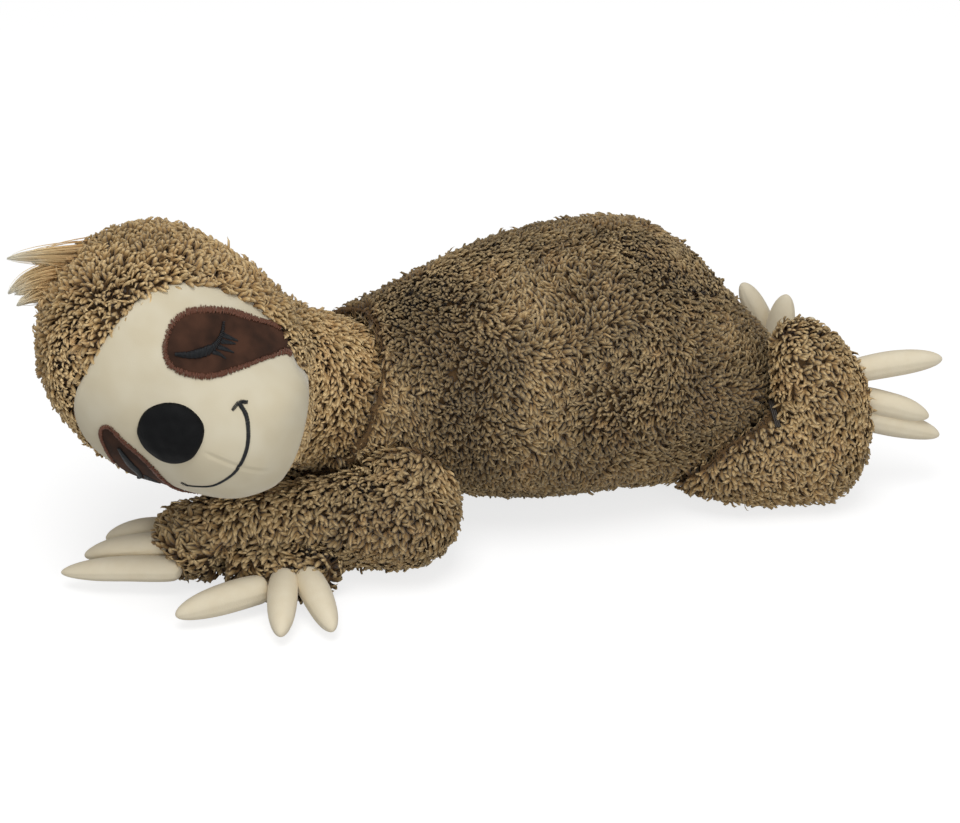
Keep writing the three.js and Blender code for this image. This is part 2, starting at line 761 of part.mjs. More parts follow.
// Each claw turns in a round socket that flares toward its tip.
function clawSockets(paw) {
  return joined(
    paw.tipShares.map((_, index) => {
      const root = clawRoot(paw, index);
      const tip = clawTip(paw, index);
      const radius = (CLAW_ROOT_RADIUS + TURNING_GAP) * socketShare;
      const lift = tip.distanceTo(root) * Math.sin(radians(paw.range));
      return sausage(root, tip, radius, radius + TURNING_GAP + CLAW_BOW + lift, CLAW_SIDES);
    }),
  );
}

// The room that the row of claw roots and the first claw take, for what lies against them.
function clawRowForm(paw, grow) {
  const radius = CLAW_BELLY_RADIUS + grow;
  const first = clawRoot(paw, 0);
  const last = clawRoot(paw, paw.tipShares.length - 1);
  const row = sausage(first, last, radius, radius, CLAW_SIDES);
  const bowed = (radius + CLAW_BOW / 2) * socketShare;
  return row.add(sausage(first, clawTip(paw, 0), bowed, bowed - CLAW_BOW, CLAW_SIDES));
}

// Limbs as sausages that meet in a crease at the elbow or heel

function limbForm(bones, grow, sides) {
  return joined(
    bones.map(([from, to, fromRadius, toRadius]) =>
      sausage(from, to, fromRadius + grow, toRadius + grow, sides),
    ),
  );
}

const leftArmBones = [
  [leftShoulder, leftElbow, SHOULDER_RADIUS, ELBOW_RADIUS - TUCK],
  [leftElbow, leftWrist, ELBOW_RADIUS, LEFT_WRIST_RADIUS],
];
const rightArmBones = [
  [rightShoulder, rightElbow, SHOULDER_RADIUS, ELBOW_RADIUS - TUCK],
  [rightElbow, rightWrist, ELBOW_RADIUS, RIGHT_WRIST_RADIUS],
  [rightWrist, rightPalm, RIGHT_WRIST_RADIUS - TUCK / 2, RIGHT_WRIST_RADIUS],
];
const leftLegBones = [
  [leftHip, leftHeel, HIP_RADIUS, HEEL_RADIUS - TUCK],
  [leftHeel, leftFoot, HEEL_RADIUS, LEFT_FOOT_RADIUS],
];
const rightLegBones = [
  [rightHip, rightFoot, HIP_RADIUS, RIGHT_FOOT_RADIUS],
];

const floor = halfSpace(new THREE.Vector3(0, 0, 0), Z_AXIS.clone().negate());

function sleeveAndFill(bones, cutters) {
  const outer = limbForm(bones, 0, LIMB_SIDES);
  const inner = limbForm(bones, -PLUSH_THICKNESS, HIDDEN_SIDES);
  const fill = limbForm(bones, -PLUSH_THICKNESS - SEAM_GAP, HIDDEN_SIDES);
  return {
    sleeve: cutBy(outer.subtract(inner), cutters),
    fill: cutBy(fill, cutters),
  };
}

// A tack stitch across the thigh, which holds the fold of the left leg
function tackStitch() {
  const middle = leftHip.clone().lerp(leftHeel, TACK_PLACE_SHARE);
  const reach = HIP_RADIUS + TACK_RADIUS;
  const halfTurn = TACK_LENGTH / (2 * reach);
  const end = (turn) => {
    const angle = radians(TACK_TILT_DEG) + turn;
    return new THREE.Vector3(0, -reach * Math.cos(angle), reach * Math.sin(angle)).add(middle);
  };
  const stitch = sausage(end(-halfTurn), end(halfTurn), TACK_RADIUS, TACK_RADIUS, CLAW_SIDES);
  return stitch.subtract(limbForm(leftLegBones, SEAM_GAP, LIMB_SIDES));
}

// The whole sloth

const torsoRoom = torsoForm(SWEEP_GAP, BODY_SIDES);
const neckSocket = ball(TORSO_FRONT, NECK_BALL_RADIUS + TURNING_GAP, BODY_SIDES);
const neckSweep = swept(neckCone(TURNING_GAP, BODY_SIDES), joints.neck, 1);
const neckRoom = neckForm(SWEEP_GAP, BODY_SIDES);

const torsoOuter = torsoForm(0, BODY_SIDES);
const torsoInner = torsoForm(-PLUSH_THICKNESS, HIDDEN_SIDES);
const torsoCutters = [neckSocket, neckSweep, floor];
const torsoSkin = cutBy(torsoOuter.subtract(torsoInner), torsoCutters);
const torsoFill = cutBy(torsoForm(-PLUSH_THICKNESS - SEAM_GAP, HIDDEN_SIDES), torsoCutters);
const aboveSeam = halfSpace(new THREE.Vector3(0, 0, BELLY_SEAM_HEIGHT + SEAM_GAP / 2), Z_AXIS);
const belowSeam = halfSpace(
  new THREE.Vector3(0, 0, BELLY_SEAM_HEIGHT - SEAM_GAP / 2), Z_AXIS.clone().negate(),
);

const neckAway = TORSO_FRONT.clone().sub(HEAD_CENTRE).normalize();
const neckMouth = halfSpace(
  TORSO_FRONT.clone().addScaledVector(neckAway, NECK_BALL_RADIUS * NECK_OPENING_SHARE), neckAway,
);
const headOuter = headForm(0, BODY_SIDES);
const headInner = headForm(-PLUSH_THICKNESS, HIDDEN_SIDES);
const faceCut = faceColumn(faceOutline(SEAM_GAP), FACE_EDGE_DEPTH - SEAM_GAP);
const headSkin = cutBy(headOuter.subtract(headInner), [faceCut, neckMouth]);
const headFill = headForm(-PLUSH_THICKNESS - SEAM_GAP, HIDDEN_SIDES).subtract(neckMouth);
const faceFront = faceColumn(faceOutline(0), FACE_EDGE_DEPTH);
const facePanel = faceFront.intersect(skullForm(-FACE_RECESS)).subtract(headInner);

const rightForearm = limbForm(rightArmBones.slice(1), SWEEP_GAP, LIMB_SIDES);
const rightHandRoom = rightForearm.add(clawRowForm(paws.right_hand, SWEEP_GAP));

const leftArm = sleeveAndFill(leftArmBones, [
  swept(torsoRoom, joints.leftShoulder, -1),
  swept(neckRoom, joints.leftShoulder, -1),
  swept(swept(rightHandRoom, joints.rightShoulder, 1), joints.leftShoulder, -1),
  clawSockets(paws.left_hand),
  floor,
]);
const rightArm = sleeveAndFill(rightArmBones, [
  swept(torsoRoom, joints.rightShoulder, -1),
  swept(neckRoom, joints.rightShoulder, -1),
  clawSockets(paws.right_hand),
  floor,
]);
const leftLeg = sleeveAndFill(leftLegBones, [
  swept(torsoRoom, joints.leftHip, -1),
  clawSockets(paws.left_foot),
  floor,
]);
const rightLeg = sleeveAndFill(rightLegBones, [
  swept(torsoRoom, joints.rightHip, -1),
  clawSockets(paws.right_foot),
  floor,
]);

const materials = {
  plush: { color: PLUSH_BROWN, roughness: 0.95 },
  stuffing: { color: STUFFING_WHITE, roughness: 1 },
  velboa: { color: VELBOA_CREAM, roughness: 0.85 },
  clawCloth: { color: CLAW_CREAM, roughness: 0.85 },
  patch: { color: PATCH_BROWN, roughness: 0.85 },
  thread: { color: THREAD_BLACK, roughness: 0.6 },
  satin: { color: SATIN_BLACK, roughness: 0.5 },
  tuft: { color: TUFT_TAN, roughness: 0.8 },
  tack: { color: THREAD_BROWN, roughness: 0.7 },
};

const sloth = new THREE.Group();

function addPiece(name, body, material) {
  const finish = new THREE.MeshStandardMaterial({ ...materials[material], metalness: 0 });
  const mesh = new THREE.Mesh(geometryOf(body), finish);
  mesh.name = name;
  sloth.add(mesh);
}

addPiece("torso_back_panel", torsoSkin.intersect(aboveSeam), "plush");
addPiece("torso_belly_panel", torsoSkin.intersect(belowSeam), "plush");
addPiece("torso_stuffing", torsoFill, "stuffing");
addPiece("head_hood", headSkin, "plush");
addPiece("head_stuffing", headFill, "stuffing");
addPiece("face_panel", facePanel, "velboa");
addPiece("nose", nose(), "satin");
addPiece("mouth_stitching", mouth(), "thread");
addPiece("hair_tuft", hairTuft(), "tuft");
for (const [name, side] of [["left", 1], ["right", -1]]) {
  addPiece(`${name}_eye_patch`, eyePatch(side), "patch");
  addPiece(`${name}_eyelid_stitching`, eyelid(side), "thread");
}
for (const [name, limb] of Object.entries({
  left_arm: leftArm,
  right_arm: rightArm,
  left_leg: leftLeg,
  right_leg: rightLeg,
})) {
  addPiece(`${name}_sleeve`, limb.sleeve, "plush");
  addPiece(`${name}_stuffing`, limb.fill, "stuffing");
}
addPiece("left_leg_tack_stitch", tackStitch(), "tack");
for (const [name, paw] of Object.entries(paws)) {
  clawForms(paw).forEach((form, index) => {
    addPiece(`${name}_claw_${index + 1}`, form, "clawCloth");
  });
}

// The origin goes to the middle of the resting side.
const extent = new THREE.Box3().setFromObject(sloth);
const middle = extent.getCenter(new THREE.Vector3());
sloth.position.set(-middle.x, -middle.y, -extent.min.z);

export default sloth;
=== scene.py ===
import json
import math

import bmesh
import bpy
import numpy as np
from mathutils import Matrix, Vector
from mathutils.bvhtree import BVHTree
from mathutils.geometry import delaunay_2d_cdt


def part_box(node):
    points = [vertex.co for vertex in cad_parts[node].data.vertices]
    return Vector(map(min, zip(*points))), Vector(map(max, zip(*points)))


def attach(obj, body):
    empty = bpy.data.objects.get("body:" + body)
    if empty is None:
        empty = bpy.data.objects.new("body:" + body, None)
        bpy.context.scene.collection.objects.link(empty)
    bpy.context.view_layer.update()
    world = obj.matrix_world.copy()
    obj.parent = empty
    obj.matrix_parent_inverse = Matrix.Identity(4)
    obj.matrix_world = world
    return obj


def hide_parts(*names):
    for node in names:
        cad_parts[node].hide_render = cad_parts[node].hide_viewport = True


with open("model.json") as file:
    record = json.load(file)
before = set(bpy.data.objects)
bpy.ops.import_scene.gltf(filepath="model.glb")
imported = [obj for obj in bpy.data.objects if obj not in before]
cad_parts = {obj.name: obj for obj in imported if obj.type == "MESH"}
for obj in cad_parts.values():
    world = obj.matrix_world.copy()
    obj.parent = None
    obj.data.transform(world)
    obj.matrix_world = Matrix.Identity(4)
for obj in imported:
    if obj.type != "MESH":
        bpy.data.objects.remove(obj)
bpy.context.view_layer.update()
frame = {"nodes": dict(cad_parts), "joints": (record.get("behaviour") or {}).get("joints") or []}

# Camera, standing where the toy was photographed from: a long lens on the toy's left side, a
# little toward its head and well above the floor.

CAMERA_PLACE = (-0.3544, -1.2388, 0.7713)
CAMERA_BEARING_DEG = -16.0
CAMERA_HEIGHT_DEG = 29.0
CAMERA_LENS_MM = 104.94

camera = bpy.data.objects.new("camera", bpy.data.cameras.new("camera"))
camera.data.lens = CAMERA_LENS_MM
camera.location = CAMERA_PLACE
camera.rotation_euler = (math.radians(90 - CAMERA_HEIGHT_DEG), 0, math.radians(CAMERA_BEARING_DEG))
camera.data.clip_start = 0.05
camera.data.clip_end = 50
bpy.context.scene.collection.objects.link(camera)
bpy.context.scene.camera = camera
bpy.context.scene.view_settings.view_transform = "Standard"

# Studio: a white paper floor that runs past the picture, an even white room, and two wide
# soft lamps, the stronger one high on the left. The floor keeps the toy's soft shadow.

FLOOR_SIZE = 30.0
FLOOR_WHITE = "#ffffff"
FLOOR_BOUNCE_GREY = "#b4b4b4"
PAPER_GLOW = 0.74
PAPER_LIT_SHARE = 0.42
ROOM_LIGHT = 0.36
KEY_POWER = 19.0
KEY_PLACE = (-0.35, -0.6, 2.05)
KEY_SIZE = 1.2
FILL_POWER = 24.0
FILL_PLACE = (0.1, -2.35, 0.5)
FILL_SIZE = 1.8


def colour(code):
    """A linear colour from an sRGB hex value."""
    shares = [int(code[i : i + 2], 16) / 255 for i in (1, 3, 5)]
    return (*[s / 12.92 if s <= 0.04045 else ((s + 0.055) / 1.055) ** 2.4 for s in shares], 1.0)


def add_node(tree, kind, settings=None, inputs=None):
    """Adds a node, sets its settings, and sets or links its inputs."""
    made = tree.nodes.new(kind)
    for key, value in (settings or {}).items():
        setattr(made, key, value)
    for key, value in (inputs or {}).items():
        if isinstance(value, bpy.types.NodeSocket):
            tree.links.new(value, made.inputs[key])
        else:
            made.inputs[key].default_value = value
    return made


def seen_directly(tree):
    """1 where the camera looks, also through a shine or a clear piece, and 0 for other light."""
    ray = add_node(tree, "ShaderNodeLightPath")
    first = add_node(
        tree, "ShaderNodeMath", {"operation": "MAXIMUM"},
        {0: ray.outputs["Is Camera Ray"], 1: ray.outputs["Is Glossy Ray"]},
    )
    both = add_node(
        tree, "ShaderNodeMath", {"operation": "MAXIMUM"},
        {0: first.outputs[0], 1: ray.outputs["Is Transmission Ray"]},
    )
    return both.outputs[0]


paper = bpy.data.materials.new("white_paper_floor")
paper.use_nodes = True
paper.node_tree.nodes.clear()
bounce = add_node(
    paper.node_tree, "ShaderNodeBsdfDiffuse", {}, {"Color": colour(FLOOR_BOUNCE_GREY)}
)
lit_paper = add_node(
    paper.node_tree, "ShaderNodeBsdfDiffuse", {}, {"Color": (*[PAPER_LIT_SHARE] * 3, 1.0)}
)
glow = add_node(
    paper.node_tree, "ShaderNodeEmission", {},
    {"Color": (*[PAPER_GLOW] * 3, 1.0), "Strength": 1.0},
)
seen_paper = add_node(
    paper.node_tree, "ShaderNodeAddShader", {}, {0: lit_paper.outputs[0], 1: glow.outputs[0]}
)
paper_mix = add_node(
    paper.node_tree, "ShaderNodeMixShader", {},
    {0: seen_directly(paper.node_tree), 1: bounce.outputs[0], 2: seen_paper.outputs[0]},
)
add_node(paper.node_tree, "ShaderNodeOutputMaterial", {}, {"Surface": paper_mix.outputs[0]})

bpy.ops.mesh.primitive_plane_add(size=FLOOR_SIZE)
floor = bpy.context.object
floor.name = "floor"
floor.data.materials.append(paper)

room = bpy.data.worlds.new("white_room")
bpy.context.scene.world = room
room.use_nodes = True
room.node_tree.nodes.clear()
dim_room = add_node(
    room.node_tree, "ShaderNodeBackground", {},
    {"Color": colour(FLOOR_WHITE), "Strength": ROOM_LIGHT},
)
bright_room = add_node(
    room.node_tree, "ShaderNodeBackground", {}, {"Color": colour(FLOOR_WHITE), "Strength": 1.0}
)
room_mix = add_node(
    room.node_tree, "ShaderNodeMixShader", {},
    {0: seen_directly(room.node_tree), 1: dim_room.outputs[0], 2: bright_room.outputs[0]},
)
add_node(room.node_tree, "ShaderNodeOutputWorld", {}, {"Surface": room_mix.outputs[0]})

for name, power, place, size in (
    ("key_lamp", KEY_POWER, KEY_PLACE, KEY_SIZE),
    ("fill_lamp", FILL_POWER, FILL_PLACE, FILL_SIZE),
):
    lamp = bpy.data.objects.new(name, bpy.data.lights.new(name, "AREA"))
    lamp.data.energy = power
    lamp.data.size = size
    lamp.location = place
    lamp.rotation_euler = Vector(place).to_track_quat("Z", "Y").to_euler()
    bpy.context.scene.collection.objects.link(lamp)

# Plush: a knitted brown backing cloth with a curly pile of soft polyester locks brushed in it.
# Each lock is a plump, pointed curl, dark brown at the root and tan at the tip. The panels are
# cut, sewn face to face, turned and stuffed, so each piece is one rounded skin.

MM = 0.001
PILE_SINK = 4.0 * MM
CLOTH_VOXEL = 3.0 * MM
CLOTH_SMOOTHING = 12
CLOTH_SETTLING = 4
SMOOTHING_STEP = 0.5
LOCK_ROOT_DEPTH = 0.16
SWIRL_SIZE = 30 * MM
TONE_SIZE = 24 * MM
TINT_COLUMNS = 32
MOST_LOCKS = 9000
SAME_PLACE = 0.01 * MM
RAY_WAY = Vector((0.23, 0.31, 0.92)).normalized()
NOISE_WAVES = 7
NOISE_SPREAD = (1.6, 4.0)
NOISE_LEVEL = 2.6
SCATTER_SURPLUS = 2.4
SCATTER_CELL = 1.12
CELL_KEYS = (73856093, 19349663, 83492791)
STITCH_SEED = 7

random = np.random.default_rng(STITCH_SEED)
nodes = frame["nodes"]


def new_material(name, finish):
    """A material with its finish, its node tree, its shader and the place on it, in metres."""
    made = bpy.data.materials.new(name)
    made.use_nodes = True
    tree = made.node_tree
    spot = add_node(tree, "ShaderNodeTexCoord").outputs["Object"]
    shader = tree.nodes["Principled BSDF"]
    for socket, value in finish.items():
        shader.inputs[socket].default_value = value
    return made, tree, shader, spot


def new_piece(name, mesh, material, body):
    """Adds a named piece that rides on a body and takes a material slot's finish."""
    piece = bpy.data.objects.new(name, mesh)
    bpy.context.scene.collection.objects.link(piece)
    mesh.materials.clear()
    mesh.materials.append(material)
    mesh.polygons.foreach_set("use_smooth", [True] * len(mesh.polygons))
    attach(piece, body)
    return piece


def mesh_of(name, points, faces):
    """A mesh from an array of points and an array of three- or four-sided faces."""
    made = bpy.data.meshes.new(name)
    count, sides = faces.shape
    made.vertices.add(len(points))
    made.vertices.foreach_set("co", points.astype(np.float32).ravel())
    made.loops.add(count * sides)
    made.loops.foreach_set("vertex_index", faces.astype(np.int32).ravel())
    made.polygons.add(count)
    made.polygons.foreach_set("loop_start", np.arange(0, count * sides, sides, dtype=np.int32))
    made.update(calc_edges=True)
    made.validate()
    return made


def arrays_of(mesh):
    """Points, point normals and triangles of a mesh."""
    points = np.empty(len(mesh.vertices) * 3, np.float32)
    normals = np.empty(len(mesh.vertices) * 3, np.float32)
    mesh.vertices.foreach_get("co", points)
    mesh.vertices.foreach_get("normal", normals)
    mesh.calc_loop_triangles()
    corners = np.empty(len(mesh.loop_triangles) * 3, np.int32)
    mesh.loop_triangles.foreach_get("vertices", corners)
    return points.reshape(-1, 3), normals.reshape(-1, 3), corners.reshape(-1, 3)


def with_modifiers_applied(piece):
    """Makes what a piece's modifiers give its own mesh."""
    evaluated = piece.evaluated_get(bpy.context.evaluated_depsgraph_get())
    made = bpy.data.meshes.new_from_object(evaluated)
    piece.modifiers.clear()
    piece.data = made
    return piece


def stuffed_skin(name, node_names):
    """One rounded skin round the solids of some CAD nodes, set in by a depth of pile."""
    gathered = bmesh.new()
    for node_name in node_names:
        gathered.from_mesh(nodes[node_name].data)
    bmesh.ops.remove_doubles(gathered, verts=gathered.verts, dist=SAME_PLACE)
    mesh = bpy.data.meshes.new(name)
    gathered.to_mesh(mesh)
    gathered.free()
    skin = bpy.data.objects.new(name, mesh)
    bpy.context.scene.collection.objects.link(skin)
    remesh = skin.modifiers.new("cloth", "REMESH")
    remesh.mode = "VOXEL"
    remesh.voxel_size = CLOTH_VOXEL
    remesh.use_smooth_shade = True
    smooth = skin.modifiers.new("stuffing", "SMOOTH")
    smooth.factor = SMOOTHING_STEP
    smooth.iterations = CLOTH_SMOOTHING
    inset = skin.modifiers.new("pile_depth", "DISPLACE")
    inset.strength = -PILE_SINK
    inset.mid_level = 0.0
    settle = skin.modifiers.new("settle", "SMOOTH")
    settle.factor = SMOOTHING_STEP
    settle.iterations = CLOTH_SETTLING
    with_modifiers_applied(skin)
    made = skin.data
    bpy.data.objects.remove(skin)
    return made


def slow_noise(points, size, seed):
    """A smooth random value from about -1 to 1 that changes over a given distance."""
    draw = np.random.default_rng(seed)
    total = np.zeros(len(points))
    for _ in range(NOISE_WAVES):
        direction = draw.normal(size=3)
        direction /= np.linalg.norm(direction)
        wave = 2 * math.pi / (size * draw.uniform(*NOISE_SPREAD))
        total += np.sin(points @ (direction * wave) + draw.uniform(0, 2 * math.pi))
    return total / NOISE_LEVEL


def unit(vectors):
    """Vectors of the same directions and length one."""
    return vectors / np.maximum(np.linalg.norm(vectors, axis=-1, keepdims=True), 1e-9)


def scattered(mesh, spacing, seed):
    """Even random places on a mesh, one to each small cube that the surface passes through."""
    points, normals, corners = arrays_of(mesh)
    a, b, c = (points[corners[:, i]] for i in range(3))
    area = np.linalg.norm(np.cross(b - a, c - a), axis=1) / 2
    draw = np.random.default_rng(seed)
    count = int(area.sum() / spacing**2 * SCATTER_SURPLUS)
    chosen = draw.choice(len(corners), count, p=area / area.sum())
    u = np.sqrt(draw.random(count))
    v = draw.random(count)
    weights = np.stack([1 - u, u * (1 - v), u * v], axis=1)[:, :, None]
    places = (points[corners[chosen]] * weights).sum(1)
    faces_up = unit((normals[corners[chosen]] * weights).sum(1))
    cells = np.floor(places / (spacing * SCATTER_CELL)).astype(np.int64)
    key = np.bitwise_xor.reduce(cells * CELL_KEYS, axis=1)
    _, first = np.unique(key, return_index=True)
    first = np.sort(first)
    return places[first], faces_up[first]


# Stations along a lock: how far up, how far over, how wide, and its place from root to tip.
LOCK_STATIONS = (
    (-LOCK_ROOT_DEPTH, 0.0, 0.42, 0.0),
    (0.34, 0.10, 0.88, 0.34),
    (0.62, 0.40, 1.0, 0.64),
    (0.71, 0.74, 0.78, 0.88),
    (0.68, 0.95, 0.0, 1.0),
)
# A lock that lies down, and what standing up adds: its rise and its reach.
LOCK_RISE = (0.72, 0.55)
LOCK_REACH = (1.12, -0.62)
LOCK_PLUMPNESS = 0.8


def tint_column(tint):
    """The middle of one of the map's columns, so that a lock has one tint all over."""
    return (np.floor(np.clip(tint, 0, 0.999) * TINT_COLUMNS) + 0.5) / TINT_COLUMNS


def add_lock_map(mesh, places):
    """Stores each point's tint and its way from root to tip as the mesh's map."""
    corner = np.empty(len(mesh.loops), np.int32)
    mesh.loops.foreach_get("vertex_index", corner)
    layer = mesh.uv_layers.new(name="OFBake")
    layer.data.foreach_set("uv", places[corner].astype(np.float32).ravel())


def lock_arrays(places, up, lean, length, width, stand, curl, tint):
    """Points, triangles and root-to-tip map of many locks, each a bent drop with three sides."""
    count = len(places)
    across = np.cross(up, lean)
    points = []
    along = []
    for high, over, wide, share in LOCK_STATIONS:
        rise = high * (LOCK_RISE[0] + LOCK_RISE[1] * stand)
        reach = over * (LOCK_REACH[0] + LOCK_REACH[1] * stand)
        middle = (
            places
            + up * (length * rise)[:, None]
            + lean * (length * reach)[:, None]
            + across * (length * curl * over * over)[:, None]
        )
        back = unit(up * (0.35 + 0.65 * share) - lean * (0.75 - 0.55 * share))
        if wide == 0.0:
            points.append(middle)
            along.append(np.full(count, share))
            continue
        half = (0.5 * width * wide)[:, None]
        crest = middle + back * half * LOCK_PLUMPNESS
        points += [middle - across * half, crest, middle + across * half]
        along += [np.full(count, share)] * 3
    points = np.stack(points, axis=1)
    along = np.stack(along, axis=1)
    faces = []
    rings = len(LOCK_STATIONS) - 1
    for ring in range(rings - 1):
        for side in range(3):
            near, far = 3 * ring + side, 3 * ring + (side + 1) % 3
            faces += [(near, near + 3, far), (far, near + 3, far + 3)]
    top = 3 * (rings - 1)
    faces += [(top + side, 3 * rings, top + (side + 1) % 3) for side in range(3)]
    faces = np.array(faces)
    every = points.shape[1]
    all_faces = (faces[None] + (np.arange(count) * every)[:, None, None]).reshape(-1, 3)
    u = np.broadcast_to(tint_column(tint)[:, None], along.shape).ravel()
    return points.reshape(-1, 3), all_faces, np.stack([u, along.ravel()], axis=1)


# Crimped polyester pile: matt locks with a faint sheen on their curls. Each is dark where the
# pile is deep and tan at its worn, brushed tip, some a little warmer where the dye took more.
PILE_RAMP = ((0.0, "#5a4326"), (0.3, "#6e5332"), (0.62, "#8f744b"), (1.0, "#c8b084"))
PILE_LIGHTNESS = (0.5, 1.6)
PILE_WARM_TINT = "#e8c09a"
PILE_WARM_SIZE = 16 * MM
PILE_WARM_RANGE = (0.52, 0.78)
PILE_WARM_SHARE = 0.3
PILE_FINISH = {
    "Roughness": 0.78, "Specular IOR Level": 0.3, "Sheen Weight": 0.12, "Sheen Roughness": 0.5,
}

pile, pile_tree, pile_shader, pile_spot = new_material("curly_polyester_pile", PILE_FINISH)
lock_map = add_node(pile_tree, "ShaderNodeUVMap", {"uv_map": "OFBake"})
lock_place = add_node(pile_tree, "ShaderNodeSeparateXYZ", {}, {0: lock_map.outputs[0]})
root_to_tip = add_node(pile_tree, "ShaderNodeValToRGB", {}, {0: lock_place.outputs["Y"]})
ramp = root_to_tip.color_ramp
for element, (place, code) in zip(ramp.elements, (PILE_RAMP[0], PILE_RAMP[-1])):
    element.position, element.color = place, colour(code)
for place, code in PILE_RAMP[1:-1]:
    ramp.elements.new(place).color = colour(code)
lightness = add_node(
    pile_tree, "ShaderNodeMapRange", {},
    {"Value": lock_place.outputs["X"], "To Min": PILE_LIGHTNESS[0], "To Max": PILE_LIGHTNESS[1]},
)
warm_patch = add_node(
    pile_tree, "ShaderNodeTexNoise", {},
    {"Vector": pile_spot, "Scale": 1 / PILE_WARM_SIZE, "Detail": 3.0},
)
warm_share = add_node(
    pile_tree, "ShaderNodeMapRange", {},
    {"Value": warm_patch.outputs[0], "From Min": PILE_WARM_RANGE[0],
     "From Max": PILE_WARM_RANGE[1], "To Max": PILE_WARM_SHARE},
)
warmed = add_node(
    pile_tree, "ShaderNodeMix", {"data_type": "RGBA", "blend_type": "MULTIPLY"},
    {0: warm_share.outputs[0], 6: root_to_tip.outputs[0], 7: colour(PILE_WARM_TINT)},
)
tinted = add_node(
    pile_tree, "ShaderNodeHueSaturation", {},
    {"Color": warmed.outputs[2], "Value": lightness.outputs[0]},
)
pile_tree.links.new(tinted.outputs[0], pile_shader.inputs["Base Color"])

# Knitted backing cloth: dull and dark between the locks, with a faint grain of loops. The real
# loops are half a millimetre wide and are drawn coarser, so that they show.
BACKING_SHADES = ("#503b21", "#6e5331")
KNIT_SIZE = 1.2 * MM

backing, backing_tree, backing_shader, backing_spot = new_material(
    "knitted_backing_cloth", {"Roughness": 0.95}
)
knit = add_node(
    backing_tree, "ShaderNodeTexNoise", {},
    {"Vector": backing_spot, "Scale": 1 / KNIT_SIZE, "Detail": 3.0},
)
knit_colour = add_node(
    backing_tree, "ShaderNodeMix", {"data_type": "RGBA"},
    {0: knit.outputs[0], 6: colour(BACKING_SHADES[0]), 7: colour(BACKING_SHADES[1])},
)
backing_tree.links.new(knit_colour.outputs[2], backing_shader.inputs["Base Color"])

# How unlike each other the locks of one skin are, as shares of a lock or of the tint's range.
LEAN_TURN = 1.5
LEAN_SPREAD = 0.5
UP_SPREAD = 0.2
LENGTH_SPREAD = 0.17
LENGTH_LIMITS = (0.6, 1.5)
WIDTH_SPREAD = 0.2
WIDTH_LIMITS = (0.5, 1.6)
STAND_BY_TONE = 0.34
STAND_SPREAD = 0.16
CURL_SPREAD = 0.4
TINT_BY_TONE = -0.14
TINT_BY_FLECK = 0.08
TINT_SPREAD = 0.12
TINT_LIMITS = (0.02, 0.98)


def cover_with_pile(name, skin, body, way, lock_size, painted_light, seed, keep):
    """Grows locks on a skin and adds them as pieces of limited size."""
    spacing, lock_length, lock_width = (size * MM for size in lock_size)
    places, up = scattered(skin, spacing, seed)
    draw = np.random.default_rng(seed + 1)
    kept = keep(places, up)
    places, up = places[kept], up[kept]
    count = len(places)
    flow = np.broadcast_to(np.array(way), places.shape)
    turn = slow_noise(places, SWIRL_SIZE, seed + 2) * LEAN_TURN
    turn += draw.normal(0, LEAN_SPREAD, count)
    flat = unit(flow - up * (flow * up).sum(1, keepdims=True))
    side = np.cross(up, flat)
    lean = unit(flat * np.cos(turn)[:, None] + side * np.sin(turn)[:, None])
    root_way = unit(up + draw.normal(0, UP_SPREAD, (count, 3)))
    lean = unit(lean - root_way * (lean * root_way).sum(1, keepdims=True))
    length = lock_length * np.clip(draw.normal(1.0, LENGTH_SPREAD, count), *LENGTH_LIMITS)
    width = lock_width * np.clip(draw.normal(1.0, WIDTH_SPREAD, count), *WIDTH_LIMITS)
    tone = slow_noise(places, TONE_SIZE, seed + 3)
    stand = np.clip(0.5 + STAND_BY_TONE * tone + draw.normal(0, STAND_SPREAD, count), 0, 1)
    curl = draw.normal(0, CURL_SPREAD, count)
    fleck = slow_noise(places, TONE_SIZE / 3, seed + 4)
    # Painted light and shade: the piece's whole pile is lightened or darkened for how it is lit.
    tint = 0.5 + painted_light + TINT_BY_TONE * tone + TINT_BY_FLECK * fleck
    tint = np.clip(tint + draw.normal(0, TINT_SPREAD, count), *TINT_LIMITS)
    parts = max(1, math.ceil(count / MOST_LOCKS))
    for part in range(parts):
        some = slice(part * count // parts, (part + 1) * count // parts)
        points, faces, tip_map = lock_arrays(
            *(values[some] for values in (places, root_way, lean, length, width, stand, curl, tint))
        )
        mesh = mesh_of(f"{name}_pile_{part + 1}", points, faces)
        add_lock_map(mesh, tip_map)
        new_piece(f"{name}_pile_{part + 1}", mesh, pile, body)


def cad_tree(node_names):
    """A search tree over the faces of some CAD solids."""
    points = []
    faces = []
    for node_name in node_names:
        solid_points, _, corners = arrays_of(nodes[node_name].data)
        faces += (corners + len(points)).tolist()
        points += solid_points.tolist()
    return BVHTree.FromPolygons(points, faces)


def is_inside(tree, place):
    """True inside a solid: a ray then leaves more solids than it enters."""
    start = Vector(place)
    balance = 0
    while True:
        hit, normal, _, _ = tree.ray_cast(start, RAY_WAY)
        if hit is None:
            return balance > 0
        balance += 1 if normal.dot(RAY_WAY) > 0 else -1
        start = hit + RAY_WAY * SAME_PLACE


# The six stuffed skins of the sloth. Each stands for its sewn panels and their stuffing, and a
# push here and there gives the lumps that the stuffing makes.

SKINS = {
    "torso": (["torso_back_panel", "torso_belly_panel", "torso_stuffing"], "torso"),
    "head": (["head_hood", "head_stuffing"], "head"),
    "left_arm": (["left_arm_sleeve", "left_arm_stuffing"], "left_arm"),
    "right_arm": (["right_arm_sleeve", "right_arm_stuffing"], "right_arm"),
    "left_leg": (["left_leg_sleeve", "left_leg_stuffing"], "left_leg"),
    "right_leg": (["right_leg_sleeve", "right_leg_stuffing"], "right_leg"),
}
# A solid that only helps a skin to its shape.
SHAPE_HELPERS = {"head": ["face_panel"]}
